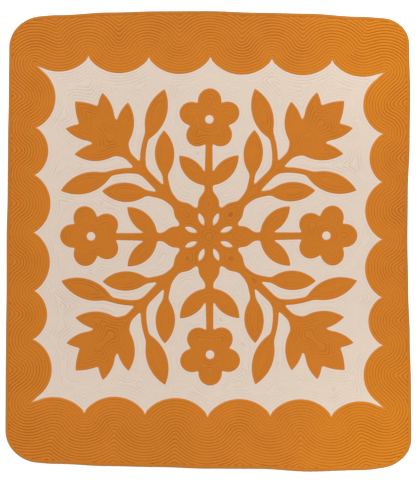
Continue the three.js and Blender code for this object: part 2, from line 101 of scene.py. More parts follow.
def quilt_outline():
    """The outline, anticlockwise."""
    corners = []
    for number, (x_side, y_side, radius) in enumerate(CORNERS):
        angles = np.radians(90 * (number - 1) + np.linspace(0, 90, CORNER_STEPS + 1))
        middle = (x_side * (HALF_WIDTH - radius), y_side * (HALF_LENGTH - radius))
        corners.append(middle + radius * np.stack([np.cos(angles), np.sin(angles)], 1))
    x, y = evenly(np.concatenate(corners), OUTLINE_STEP).T
    sideways = np.where(x > 0, wander("right", y), -wander("left", y))
    upwards = np.where(y > 0, wander("top", x), -wander("bottom", x))
    return np.stack([x + sideways * np.abs(x) / HALF_WIDTH, y + upwards * np.abs(y) / HALF_LENGTH], 1)


def moved_out(loop, distance):
    """A closed line that runs anticlockwise, moved outwards by a distance."""
    along = np.roll(loop, -1, 0) - np.roll(loop, 1, 0)
    along /= np.hypot(*along.T)[:, None]
    return loop + distance * np.stack([along[:, 1], -along[:, 0]], 1)


outline = quilt_outline()
table_middle = (outline.min(0) + outline.max(0)) / 2
print("outline", len(outline), "points,", np.ptp(outline, axis=0).round(3), "m")
print("its middle lies at", table_middle.round(4))

# %% [markdown]
# ## The scallops
#
# The border's inner edge is a chain of arcs that meet in points. Each side has six of them between two
# corner points, and a short flat one at each end leads into the corner. An arc is known from its width,
# from point to point, and from how deep it bulges, so the table has those two numbers, and a third for how
# far the arc's first point stands off the straight line between the corners.
#
# Between two arcs the cloth is clipped and turned under to a sharp thorn of cream, a few millimetres longer
# than the arcs alone would leave. So both arcs stop short of the point, and a straight edge runs on from
# each to its tip.
#
# An arc has an exact distance: along its bulge it is the difference of two radii, and past its ends it is
# the distance to the nearer point. No fine polyline is needed for that.

# %% Sizes of the scallops
# Clockwise, each side's first corner and its arcs: (width, depth of the bulge, lift of the first point).
SCALLOP_SIDES = [
    ((-864, 879), [
        (39, 2, 0), (227, 41, -17), (302, 77, 42), (307, 79, 43),
        (308, 78, 51), (302, 73, 48), (225, 39, 48), (39, 1, -12),
    ]),
    ((884, 841), [
        (37, 1, 0), (272, 80, -42), (241, 62, -13), (287, 82, -17),
        (289, 82, -17), (240, 67, -19), (284, 82, -14), (35, 1, -37),
    ]),
    ((886, -844), [
        (41, 2, 0), (228, 42, -17), (305, 78, 36), (313, 80, 37),
        (313, 81, 47), (303, 78, 39), (237, 41, 38), (39, 2, -14),
    ]),
    ((-894, -815), [
        (37, 2, 0), (283, 80, -44), (242, 65, -14), (292, 76, -19),
        (287, 79, -10), (237, 62, -9), (283, 79, -13), (33, 1, -37),
    ]),
]
# The thorns: their length on each of the four sides, how far the arcs stop short of one, and the arcs,
# counted from 0 on each side, that one follows.
THORN_LENGTHS = (7 * MM, 3 * MM, 7 * MM, 3 * MM)
THORN_BASE = 15 * MM
BEFORE_THORN = (1, 2, 3, 4, 5)
SCALLOP_STEP = 7 * MM
TINY = 1e-6

Arc = namedtuple("Arc", "start end middle radius reach along belly")


# %% Arcs
def arc_between(start, end, depth):
    """The arc between two points that bulges to the right of the way from one to the other."""
    width = math.dist(start, end)
    along = (end - start) / width
    belly = np.array([along[1], -along[0]])
    radius = (width * width / 4 + depth * depth) / (2 * depth)
    middle = (start + end) / 2 - belly * (radius - depth)
    return Arc(start, end, middle, radius, 2 * math.atan(2 * depth / width), along, belly)


def arc_place(arc, angle):
    """The place on an arc at an angle from its middle, or several at once."""
    return arc.middle + arc.radius * (arc.along * np.sin(angle) + arc.belly * np.cos(angle))


def shortened(arc, at_start, at_end):
    """The same arc without a length at each end."""
    start = arc_place(arc, at_start / arc.radius - arc.reach)
    end = arc_place(arc, arc.reach - at_end / arc.radius)
    half = math.dist(start, end) / 2
    return arc_between(start, end, arc.radius - math.sqrt(arc.radius * arc.radius - half * half))


# %% Build the scalloped edge
def scallop_edge():
    """The arcs in turn, and the tip that follows some of them, by the arc's number."""
    arcs, tips = [], {}
    for side, (corner, rows) in enumerate(SCALLOP_SIDES):
        first = np.array(corner) * MM
        last = np.array(SCALLOP_SIDES[(side + 1) % len(SCALLOP_SIDES)][0]) * MM
        outwards = np.array([first[1] - last[1], last[0] - first[0]]) / math.dist(first, last)
        widths, depths, lifts = np.array(rows).T
        shares = np.append(0, np.cumsum(widths)) / widths.sum()
        points = first + shares[:, None] * (last - first) + np.append(lifts, 0)[:, None] * MM * outwards
        for number, (start, end, deep) in enumerate(zip(points, points[1:], depths)):
            cuts = [THORN_BASE * (place in BEFORE_THORN) for place in (number - 1, number)]
            if number in BEFORE_THORN:
                tips[len(arcs)] = end + THORN_LENGTHS[side] * outwards
            arcs.append(shortened(arc_between(start, end, deep * MM), *cuts))
    return arcs, tips


def scallop_points():
    """Points along the whole edge, closed."""
    loop = []
    for number, arc in enumerate(arcs):
        count = round(2 * arc.reach * arc.radius / SCALLOP_STEP)
        angles = np.linspace(-arc.reach, arc.reach, count, endpoint=False)[:, None]
        loop.append(arc_place(arc, angles))
        if number in tips:
            loop += [arc.end[None], tips[number][None]]
    return np.concatenate(loop)


# %% Distance to the scallops
def inside(loop, points):
    """Which points lie inside a closed line."""
    odd = np.zeros(len(points), bool)
    x, y = points.T
    for (ax, ay), (bx, by) in zip(loop, np.roll(loop, -1, 0)):
        spans = np.flatnonzero((ay > y) != (by > y))
        odd[spans] ^= x[spans] < (bx - ax) * (y[spans] - ay) / (by - ay) + ax
    return odd


def to_segment(start, end, points):
    """Distance to a straight line between two places."""
    along = end - start
    share = np.clip((points - start) @ along / (along @ along), 0, 1)
    return np.hypot(*(points - start - share[:, None] * along).T)


def border_depth(points):
    """Distance to the scalloped edge, above 0 on the border and below 0 on the cream."""
    nearest = np.full(len(points), np.inf)
    for number, arc in enumerate(arcs):
        away = points - arc.middle
        radius = np.hypot(*away.T)
        beside = away @ arc.belly > radius * math.cos(arc.reach)
        to_ends = np.minimum(np.hypot(*(points - arc.start).T), np.hypot(*(points - arc.end).T))
        nearest = np.minimum(nearest, np.where(beside, np.abs(radius - arc.radius), to_ends))
        if number in tips:
            nearest = np.minimum(nearest, to_segment(arc.end, tips[number], points))
            nearest = np.minimum(nearest, to_segment(tips[number], arcs[number + 1].start, points))
    return np.where(inside(scallops, points), -nearest, nearest)


arcs, tips = scallop_edge()
scallops = scallop_points()
print("scallops", len(arcs), "arcs,", len(tips), "thorns,", len(scallops), "points")

# %% [markdown]
# ## The centre's cutting pattern
#
# Cloth that is folded in eighths and cut once opens into a shape that repeats eight times. The pattern is
# drawn for one eighth only, and every place on the quilt is folded onto it: its distances from the two axes
# are made positive and the larger one put first, as the folds do.
#
# Each leaf, petal and stem is a formula for the distance to its edge. The smaller of two such distances
# joins two shapes, and a rounded kind of smaller gives the join a fillet. The hand that cut the cloth
# wasn't exact, so the places are shifted by a slow wave before they are folded.

# %% Sizes of the centre
CENTRE = np.array([7, 20]) * MM
HAND_SHIFT = {"by": 4 * MM, "over": 290 * MM}
MIDDLE_RADIUS = 150
MIDDLE_PETAL = {"out": 165, "long": 58, "wide": 52}
MIDDLE_FILLET = 26
MIDDLE_WINDOW = {"start": (62, 22.5), "end": (130, 22.5), "half": 13}

# Places are (radius from the middle, angle from the axis). A stem's half width goes from start to end, and
# "round" is the fillet where a stem or a leaf joins the rest.
STEMS = [
    {"through": [(100, 45), (400, 45), (700, 45)], "start": 24, "end": 17, "round": 22},
    {"through": [(100, 0), (310, 0), (520, 0)], "start": 22, "end": 16, "round": 22},
    {"through": [(262, 45), (330, 41), (420, 32)], "start": 15, "end": 12, "round": 16},
    {"through": [(455, 45), (540, 40), (618, 29)], "start": 14, "end": 12, "round": 16},
]
STEM_STEPS = 6
LEAVES = [
    {"start": (560, 45), "end": (950, 45), "half": 82, "round": 16},
    {"start": (615, 45), "end": (785, 31.3), "half": 44, "round": 14},
    {"start": (705, 45), "end": (895, 36.8), "half": 40, "round": 14},
    {"start": (370, 36), "end": (578, 23), "half": 48, "round": 12},
    {"start": (258, 2), "end": (432, 20), "half": 42, "round": 12},
    {"start": (575, 32), "end": (772, 17), "half": 50, "round": 12},
]
BLOSSOM = {"out": 588, "heart": 62, "eye": 22, "petals": 5}
BLOSSOM_PETAL = {"out": 92, "long": 62, "wide": 58}
BLOSSOM_FILLET = 12


def polar(place):
    """A place given by its radius and angle, in x and y."""
    radius, degrees = place
    return radius * np.array([math.cos(math.radians(degrees)), math.sin(math.radians(degrees))])


def joined(a, b, fillet):
    """The smaller of two distances, with a fillet where they are alike."""
    share = np.clip(0.5 + (b - a) / (2 * fillet), 0, 1)
    return b + (a - b) * share - fillet * share * (1 - share)


def leaf(places, start, end, half):
    """Distance to a leaf: two equal arcs that meet in a point at each end."""
    start, end = polar(start), polar(end)
    length = math.dist(start, end)
    along = (end - start) / length
    away = places - (start + end) / 2
    lengthways = np.abs(away @ along)
    across = np.abs(away @ np.array([-along[1], along[0]]))
    back = (length * length / 4 + half * half) / (2 * half) - half
    past_the_tip = (lengthways - length / 2) * back > across * length / 2
    to_tip = np.hypot(lengthways - length / 2, across)
    return np.where(past_the_tip, to_tip, np.hypot(lengthways, across + back) - back - half)


def petal(places, middle, degrees, out, long, wide):
    """Distance to an oval petal whose length points away from a place on the axis."""
    angle = math.radians(degrees)
    away = places - np.array([middle + out * math.cos(angle), out * math.sin(angle)])
    lengthways = away @ np.array([math.cos(angle), math.sin(angle)])
    across = away @ np.array([-math.sin(angle), math.cos(angle)])
    return (np.hypot(lengthways / long, across / wide) - 1) * wide


def stem(places, through, start, end):
    """Distance to a stem: a bent path whose half width goes from one value to another."""
    first, bend, last = (polar(place) for place in through)
    shares = np.linspace(0, 1, STEM_STEPS + 1)[:, None]
    path = (1 - shares) ** 2 * first + 2 * shares * (1 - shares) * bend + shares**2 * last
    nearest = np.full(len(places), np.inf)
    for step, (a, b) in enumerate(zip(path, path[1:])):
        share = np.clip((places - a) @ (b - a) / ((b - a) @ (b - a)), 0, 1)
        away = np.hypot(*(places - a - share[:, None] * (b - a)).T)
        nearest = np.minimum(nearest, away - start - (end - start) * (step + share) / STEM_STEPS)
    return nearest


# %% Cut the centre
def folded(points):
    """Places on the quilt as places in millimetres on the eighth that they fold onto."""
    x, y = points.T
    shift = np.stack([np.sin(y / HAND_SHIFT["over"] + 1), np.sin(x / HAND_SHIFT["over"] + 2)], 1)
    away = np.abs(points - CENTRE + HAND_SHIFT["by"] * shift)
    return np.stack([away.max(1), away.min(1)], 1) / MM


def centre_pattern(points):
    """The cutting pattern: below 0 on the orange cloth and above 0 off it. Only its 0 line is exact."""
    places = folded(points)
    found = np.hypot(*places.T) - MIDDLE_RADIUS
    for degrees in (0, 45):
        found = joined(found, petal(places, 0, degrees, **MIDDLE_PETAL), MIDDLE_FILLET)
    for row in STEMS:
        found = joined(found, stem(places, row["through"], row["start"], row["end"]), row["round"])
    for row in LEAVES:
        found = joined(found, leaf(places, row["start"], row["end"], row["half"]), row["round"])
    from_heart = np.hypot(places[:, 0] - BLOSSOM["out"], places[:, 1])
    blossom = from_heart - BLOSSOM["heart"]
    for number in range(BLOSSOM["petals"]):
        degrees = 360 * number / BLOSSOM["petals"]
        blossom = joined(blossom, petal(places, BLOSSOM["out"], degrees, **BLOSSOM_PETAL), BLOSSOM_FILLET)
    found = joined(found, blossom, BLOSSOM_FILLET)
    window = leaf(places, **MIDDLE_WINDOW)
    return np.maximum.reduce([found, BLOSSOM["eye"] - from_heart, -window]) * MM


# %% [markdown]
# ## Lines of equal distance
#
# A value on a square grid has lines along which it stays the same, as heights have on a map. They are found
# cell by cell: a cell whose corners aren't all on one side of the value has the line running through it, in
# by one side and out by another. Linking the sides up gives closed lines. The centre's edge is the first of
# them, the line where its pattern is 0.

# %% Contour lines on a grid
GRID_STEP = 2.5 * MM
GRID_MARGIN = 4 * GRID_STEP

# For each way in which a cell's four corners can be above the value, the sides that the line enters and
# leaves by: 0 bottom, 1 right, 2 top, 3 left. Higher values are on its left.
CROSSINGS = [
    [], [(0, 3)], [(1, 0)], [(1, 3)], [(2, 1)], [(0, 3), (2, 1)], [(2, 0)], [(2, 3)],
    [(3, 2)], [(0, 2)], [(1, 0), (3, 2)], [(1, 2)], [(3, 1)], [(0, 1)], [(3, 0)], [],
]

grid_low = outline.min(0) - GRID_MARGIN
grid_x = np.arange(grid_low[0], outline[:, 0].max() + GRID_MARGIN, GRID_STEP)
grid_y = np.arange(grid_low[1], outline[:, 1].max() + GRID_MARGIN, GRID_STEP)
grid_shape = (len(grid_y), len(grid_x))
grid_points = np.stack(np.meshgrid(grid_x, grid_y), -1).reshape(-1, 2)


def contour(values, level):
    """The closed lines on which a grid has one value."""
    above = values > level
    case = above[:-1, :-1] + 2 * above[:-1, 1:] + 4 * above[1:, 1:] + 8 * above[1:, :-1]
    row, column = np.nonzero((case > 0) & (case < len(CROSSINGS) - 1))
    case = case[row, column]
    corner = 2 * (row * grid_shape[1] + column)
    sides = np.stack([corner, corner + 3, corner + 2 * grid_shape[1], corner + 1])
    following = {}
    for number, crossings in enumerate(CROSSINGS):
        for enter, leave in crossings:
            following.update(zip(*sides[[enter, leave]][:, case == number].tolist()))
    loops = []
    while following:
        first, side = following.popitem()
        loop = [first]
        while side in following:
            loop.append(side)
            side = following.pop(side)
        loops.append(on_sides(values.ravel(), level, np.array(loop)))
    return loops


def on_sides(values, level, sides):
    """The places where a line crosses some sides of the grid's cells."""
    corner, upright = sides // 2, sides % 2
    low, high = values[corner], values[corner + np.where(upright, grid_shape[1], 1)]
    share = (level - low) / (high - low)
    x = corner % grid_shape[1] + np.where(upright, 0, share)
    y = corner // grid_shape[1] + np.where(upright, share, 0)
    return grid_low + GRID_STEP * np.stack([x, y], 1)


# %% [markdown]
# A contour has a point on every cell that it crosses, far more than its shape needs. Points are kept where
# it bends, and every few millimetres where it doesn't: each step counts its length and its turn, and a
# point is kept each time the count is full.

# %% Keep the points that a line needs
def thinned(loop, spacing, turn=math.radians(28)):
    """A closed line with points at most a spacing apart, and closer where it turns."""
    ring = evenly(loop, GRID_STEP)
    along = np.roll(ring, -1, 0) - ring
    heading = np.arctan2(along[:, 1], along[:, 0])
    bend = np.abs((heading - np.roll(heading, 1) + math.pi) % (2 * math.pi) - math.pi)
    bend = np.minimum(bend, np.roll(bend, 1) + np.roll(bend, -1) + bend)
    count = np.cumsum(np.hypot(*along.T) / spacing + bend / turn)
    wanted = max(4, math.ceil(count[-1]))
    kept = np.searchsorted(count, (np.arange(wanted) + 0.5) * count[-1] / wanted)
    return ring[np.unique(kept.clip(0, len(ring) - 1))]


EDGE_SPACING = 6 * MM
SMALLEST_ISLAND = 12 * MM

pattern = centre_pattern(grid_points).reshape(grid_shape)
centre_edges = [
    thinned(loop, EDGE_SPACING)
    for loop in contour(-pattern, 0.0)
    if np.ptp(loop, axis=0).max() > SMALLEST_ISLAND
]
print("centre", len(centre_edges), "edges,", sum(map(len, centre_edges)), "points")

# %% [markdown]
# ## How far everything is from an orange edge
#
# The distance to the scallops is exact. The centre's edge is a polyline, so its nearest point is looked up
# in a search tree, for the places inside the scallops only.
#
# The rows are true echoes: wide arcs round the points of the scallops, which meet in chevrons behind the
# middle of each arc. They are sewn by eye, so the chevrons lose their sharpest bend, and the distance is
# averaged over a small patch. A few millimetres of slow waver are added too, and none of either at the
# edges themselves. The average is taken of a distance that is above 0 on the orange and below 0 on the
# cream, which has no fold at the edges, and past the grid it goes on as it grew.
#
# Where two sets of rows meet, the distance grows slowly and the rows lie far apart. Its slope, the growth
# for each metre, is 1 beside the edges and near 0 on such places. It is kept too, because cloth far from
# any row is flat.

# %% The distance to the nearest orange edge
ROW_PITCH = 14.6 * MM
# The average reaches this far, and takes over within so many rows after the first.
ROUNDING = 8 * MM
ROUNDING_ROWS = 3
# The waver's size and the lengths of its waves, in millimetres, and those of the quicker tremble.
WAVER, WAVES = 2.4 * MM, (61, 47, 29)
TREMBLE, SHORT_WAVES = 0.5 * MM, (9.5, 8.5)


def distance_to(loops):
    """A function that gives the distance from places to the nearest of some closed lines."""
    corners, walls = [], []
    for loop in loops:
        first = len(corners)
        count = len(loop)
        corners += [(x, y, -MM) for x, y in loop] + [(x, y, MM) for x, y in loop]
        walls += [
            (first + i, first + (i + 1) % count, first + count + (i + 1) % count, first + count + i)
            for i in range(count)
        ]
    nearest = BVHTree.FromPolygons(corners, walls).find_nearest
    return lambda points: np.array([nearest((x, y, 0.0))[3] for x, y in points.tolist()])


def waver(points):
    """A smooth unevenness over the quilt: slow, and a small quicker one."""
    x, y = points.T / MM
    slow = np.sin(x / WAVES[0] + 1) * np.sin(y / WAVES[1] + 2) + 0.4 * np.sin((x + y) / WAVES[2])
    quick = np.sin((x + 0.4 * y) / SHORT_WAVES[0]) * np.sin((y - 0.3 * x) / SHORT_WAVES[1])
    return WAVER * slow + TREMBLE * quick


def averaged(values, reach):
    """A grid whose every value is averaged with those around it."""
    count = math.ceil(2 * reach / GRID_STEP)
    window = np.exp(-((np.arange(-count, count + 1) * GRID_STEP / reach) ** 2) / 2)
    values = np.pad(values, count, mode="reflect", reflect_type="odd")
    for axis in (0, 1):
        values = np.apply_along_axis(np.convolve, axis, values, window / window.sum(), "valid")
    return values


# %% Work the distance out on the grid
on_quilt = inside(outline, grid_points)
border_side = border_depth(grid_points)
depth = np.abs(border_side)
open_field = border_side < 0
depth[open_field] = np.minimum(depth[open_field], distance_to(centre_edges)(grid_points[open_field]))
region = np.where(border_side > 0, "border", np.where(pattern.ravel() < 0, "centre", "cream"))
side = np.where(region == "cream", -1.0, 1.0)
rounded = side * averaged((side * depth).reshape(grid_shape), ROUNDING).ravel()
depth += (rounded - depth) * np.clip(depth / ROW_PITCH - 1, 0, ROUNDING_ROWS) / ROUNDING_ROWS
depth += waver(grid_points) * np.clip(depth / (2 * ROW_PITCH), 0, 1)
for name in ("border", "cream", "centre"):
    print(name, "is", round(float(depth[on_quilt & (region == name)].max()), 3), "m deep at most")

slope = averaged((side * depth).reshape(grid_shape), 2 * GRID_STEP)
slope = np.hypot(*np.gradient(slope, GRID_STEP))
region = region.reshape(grid_shape)
slope = np.maximum(slope, 1 - depth.reshape(grid_shape) / ROW_PITCH).clip(0, 1)
depth = np.where(on_quilt, depth, -1.0).reshape(grid_shape)
far_apart = float((slope < 0.5)[depth > 0].mean())
print("rows lie more than two pitches apart on", round(100 * far_apart, 1), "% of the quilt")

# %% [markdown]
# ## The rows
#
# A row of quilting lies wherever the distance is a whole number of pitches. The cloth is lowest there and
# highest midway to the next row. Lines at a few shares of a pitch describe that puff: at the stitches, on
# each shoulder and along the crest. They carry the mesh's points, so every furrow and every crest is a
# clean line of edges instead of a staircase on a grid.
#
# The same lines serve four times: for the cream, the border, the centre and, with fewer points, the back.

# %% Draw the rows
PUFF_SHARES = (0.0, 0.18, 0.5, 0.82)
SMALLEST_ROW = 22 * MM

Row = namedtuple("Row", "region share depth line")


def grid_value(values, points):
    """The grid's value nearest to each place."""
    column, row = np.rint((points - grid_low) / GRID_STEP).astype(int).T
    return values[row.clip(0, grid_shape[0] - 1), column.clip(0, grid_shape[1] - 1)]


rows = []
for number in range(math.ceil(depth.max() / ROW_PITCH)):
    for share in PUFF_SHARES:
        level = (number + share) * ROW_PITCH
        if level == 0:
            continue
        for line in contour(depth, level):
            if np.ptp(line, axis=0).max() > SMALLEST_ROW:
                rows.append(Row(str(grid_value(region, line[:1])[0]), share, level, line))
print(len(rows), "lines")

# %% [markdown]
# ## From lines to cloth
#
# Constrained Delaunay triangulation joins the points of many lines into triangles and never crosses a line
# that it is told to keep. It fills the outline's hollows too, so triangles outside the cloth are taken out:
# only those with all three corners on the cloth's own edges can be outside, which leaves few to test.

# %% Join lines into triangles
def cut_short(line, keep):
    """The stretches of a closed line whose points are kept, each with whether it is still closed."""
    if keep.all():
        return [(line, True)]
    if not keep.any():
        return []
    start = int(np.argmin(keep))
    line, keep = np.roll(line, -start, 0), np.roll(keep, -start)
    ends = np.flatnonzero(np.diff(np.concatenate([[False], keep, [False]]).astype(int)))
    return [(line[a:b], False) for a, b in ends.reshape(-1, 2) if b - a > 1]


def triangulated(lines):
    """Points, depths, triangles and which points are on an edge, from (points, depth, closed, is an edge)."""
    places, depths, on_edge, kept_lines = [], [], [], []
    for line, line_depth, closed, is_edge in lines:
        first, count = len(places), len(line)
        places += line.tolist()
        depths += [line_depth] * count
        on_edge += [is_edge] * count
        kept_lines += [(first + i, first + i + 1) for i in range(count - 1)]
        if closed:
            kept_lines.append((first + count - 1, first))
    made = delaunay_2d_cdt([Vector(place) for place in places], kept_lines, [], 0, TINY, True)
    xy = np.array([tuple(v) for v in made[0]])
    triangles = np.array(made[2])
    source = [(came[0] if came else -1) for came in made[3]]
    depths, on_edge = np.append(depths, 0.0)[source], np.append(on_edge, False)[source]
    extra = np.array(source) < 0
    depths[extra] = grid_value(depth, xy[extra])
    return xy, depths, triangles, on_edge


def within(xy, triangles, doubtful, edges):
    """The triangles that lie inside some closed edges, where only the doubtful ones need a test."""
    middles = xy[triangles[doubtful]].mean(1)
    odd = np.zeros(len(middles), bool)
    for edge in edges:
        odd ^= inside(edge, middles)
    keep = ~doubtful
    keep[doubtful] = odd
    return triangles[keep]


# %% [markdown]
# Each cloth is then closed below. Its edges go down in a small bulge, as a turned-under edge does, and a
# plain flat face that nobody sees closes it underneath. The points keep three values of their own: how deep
# they lie among the rows, the slope there, and whether the filling lifts them.

# %% Find a cloth's edge
def rim_of(triangles):
    """The directed sides of triangles that no other triangle shares."""
    sides = np.concatenate([triangles[:, [0, 1]], triangles[:, [1, 2]], triangles[:, [2, 0]]])
    width = sides.max() + 1
    forward = sides[:, 0].astype(np.int64) * width + sides[:, 1]
    backward = sides[:, 1].astype(np.int64) * width + sides[:, 0]
    return sides[~np.isin(forward, backward)]


def outwards_at(xy, rim):
    """For each point of a rim, its number and the way out of the cloth there."""
    along = xy[rim[:, 1]] - xy[rim[:, 0]]
    away = np.stack([along[:, 1], -along[:, 0]], 1) / np.hypot(*along.T)[:, None].clip(TINY)
    total = np.zeros((len(xy), 2))
    for side in (0, 1):
        np.add.at(total, rim[:, side], away)
    numbers = np.unique(rim)
    total = total[numbers]
    return numbers, total / np.hypot(*total.T)[:, None].clip(TINY)


# %% Close a cloth below
def cloth(name, edges, creases, top, wall):
    """A closed piece of cloth: a quilted face at a height, and rings of (height, way out) below its edges.

    The face turns down if the rings rise, which is how the back is made.
    """
    lines = [(edge, 0.0, True, True) for edge in edges] + creases
    xy, depths, triangles, on_edge = triangulated(lines)
    triangles = within(xy, triangles, on_edge[triangles].all(1), edges)
    rim = rim_of(triangles)
    numbers, away = outwards_at(xy, rim)
    vertices = [np.column_stack([xy, np.full(len(xy), top)])]
    vertices += [np.column_stack([xy[numbers] + out * away, np.full(len(numbers), z)]) for z, out in wall]

    ring = np.zeros(len(xy), int)
    ring[numbers] = np.arange(len(numbers))
    above, faces = rim, [triangles]
    for layer in range(len(wall)):
        below = ring[rim] + len(xy) + layer * len(numbers)
        faces += [np.column_stack([above[:, 1], above[:, 0], below[:, 0]])]
        faces += [np.column_stack([above[:, 1], below[:, 0], below[:, 1]])]
        above = below

    first = len(xy) + (len(wall) - 1) * len(numbers)
    made = delaunay_2d_cdt([Vector(place) for place in xy[numbers]], ring[rim].tolist(), [], 0, TINY, True)
    under = np.array(made[2])
    under = within(xy[numbers], under, np.ones(len(under), bool), edges)
    faces.append(first + under[:, ::-1])
    faces = np.concatenate(faces)
    if wall[-1][0] > top:
        faces = faces[:, ::-1]
    hidden = len(numbers) * len(wall)
    lifted = np.concatenate([np.ones(len(xy)), np.zeros(hidden)])
    return new_piece(name, np.concatenate(vertices), faces, {
        "depth": np.concatenate([depths, np.zeros(hidden)]),
        "slope": np.concatenate([grid_value(slope, xy), np.ones(hidden)]),
        "lifted": lifted,
    })


def new_piece(name, vertices, faces, values=None):
    """A mesh object in the frame, from places on the cutting table, with a value for each point by name."""
    mesh = bpy.data.meshes.new(name)
    placed = vertices - np.append(table_middle, 0)
    mesh.from_pydata(placed.tolist(), [], faces.tolist())
    for key, numbers in (values or {}).items():
        mesh.attributes.new(key, "FLOAT", "POINT").data.foreach_set("value", numbers.astype(np.float32))
    mesh.shade_smooth()
    obj = bpy.data.objects.new(name, mesh)
    bpy.context.scene.collection.objects.link(obj)
    return obj


# %% [markdown]
# ## The heights
#
# All of it is thin: 7 mm of cotton and filling. The back lies on the floor, the cream top on the back, and
# each orange cloth a hair above the cream. The binding wraps the edges of all of them, so they end a little
# inside it, and no row runs under it.

# %% Heights and insets
# Heights above the floor of each cloth's hidden flat face, its furrows and its turned edge, and how far that
# edge bulges.
BACK_FURROW, BACK_TOP = 0.9 * MM, 1.7 * MM
TOP_UNDER, TOP_FURROW = 1.8 * MM, 3.7 * MM
ORANGE_UNDER, ORANGE_BULGE, ORANGE_FURROW = 3.8 * MM, 4.0 * MM, 4.3 * MM
BULGE = 0.3 * MM

# How far inside the outline the upper cloths and the back end, and where the binding creases the border.
RIM_INSET = 1.5 * MM
BACK_INSET = 8 * MM
BOUND_INSET = 14.5 * MM
BINDING_WIDTH = 16.5 * MM
# The longest steps between a row's points.
CREAM_SPACING, BORDER_SPACING, CENTRE_SPACING, BACK_SPACING = 10.5 * MM, 10 * MM, 10.5 * MM, 24 * MM

rim, bound, back_rim, back_bound = (
    thinned(moved_out(outline, -inset), BORDER_SPACING)
    for inset in (RIM_INSET, BOUND_INSET, BACK_INSET, BINDING_WIDTH + 2 * MM)
)
to_outline = distance_to([outline])


def creases_of(regions, spacing, shares=PUFF_SHARES, clear_of_outline=BINDING_WIDTH + 1 * MM):
    """The rows of some regions as lines for triangulation, cut off near the outline."""
    creases = []
    for row in rows:
        if row.region not in regions or row.share not in shares:
            continue
        line = thinned(row.line, spacing)
        if row.region == "border":
            keep = to_outline(line) > clear_of_outline
            creases += [(part, row.depth, closed, False) for part, closed in cut_short(line, keep)]
        else:
            creases.append((line, row.depth, True, False))
    return creases


# %% The cream top
flat_lines = [(edge, 0.0, True, False) for edge in [scallops, *centre_edges]]
cream_lines = flat_lines + creases_of({"cream"}, CREAM_SPACING)
cream_top = cloth("quilt_top", [rim], cream_lines, TOP_FURROW, [(TOP_UNDER, 0.0)])

# %% The border and the centre
bound_line = (bound, 0.0, True, False)
folded_edge = [(ORANGE_BULGE, BULGE), (ORANGE_UNDER, 0.0)]
border_lines = [bound_line, *creases_of({"border"}, BORDER_SPACING)]
border = cloth("border_cloth", [scallops, rim], border_lines, ORANGE_FURROW, folded_edge)
centre_lines = creases_of({"centre"}, CENTRE_SPACING)
centre = cloth("centre_cloth", centre_edges, centre_lines, ORANGE_FURROW, folded_edge)

# %% The back
back_shares = (0.0, 0.5)
back_lines = flat_lines + [(back_bound, 0.0, True, False)]
back_lines += creases_of({"border", "cream", "centre"}, BACK_SPACING, back_shares, BINDING_WIDTH + 5 * MM)
back = cloth("back_cloth", [back_rim], back_lines, BACK_FURROW, [(BACK_TOP, 0.0)])

for piece in (cream_top, border, centre, back):
    print(piece.name, len(piece.data.polygons), "triangles")

# %% [markdown]
# ## Writing node trees
#
# A node tree is a graph: each input of a node gets a plain value or another node's output. A few small
# helpers let the trees below be read as text, from what goes in to what comes out. They add a node, give
# its first output, do a sum, and make a tree with named inputs, which are the sizes that its user sets.

# %% Helpers for node trees
def add(tree, kind, inputs=None, **settings):
    """A new node. Its inputs, by name or number, get plain values or other nodes' outputs."""
    node = tree.nodes.new(kind)
    for key, value in settings.items():
        setattr(node, key, value)
    for key, value in (inputs or {}).items():
        if isinstance(value, bpy.types.NodeSocket):
            tree.links.new(value, node.inputs[key])
        else:
            node.inputs[key].default_value = value
    return node


def result(tree, kind, inputs=None, **settings):
    """The first output of a new node."""
    return add(tree, kind, inputs, **settings).outputs[0]


def maths(tree, operation, *values):
    """A sum of plain values or outputs."""
    return result(tree, "ShaderNodeMath", dict(enumerate(values)), operation=operation)


def new_tree(name, kind, inputs, outputs):
    """A tree and its inputs' sockets, from {name: (socket, start value)} in and {name: socket} out."""
    tree = bpy.data.node_groups.new(name, kind)
    for key, (socket, value) in inputs.items():
        made = tree.interface.new_socket(key, in_out="INPUT", socket_type="NodeSocket" + socket)
        if value is not None:
            made.default_value = value
    for key, socket in outputs.items():
        tree.interface.new_socket(key, in_out="OUTPUT", socket_type="NodeSocket" + socket)
    return tree, tree.nodes.new("NodeGroupInput").outputs
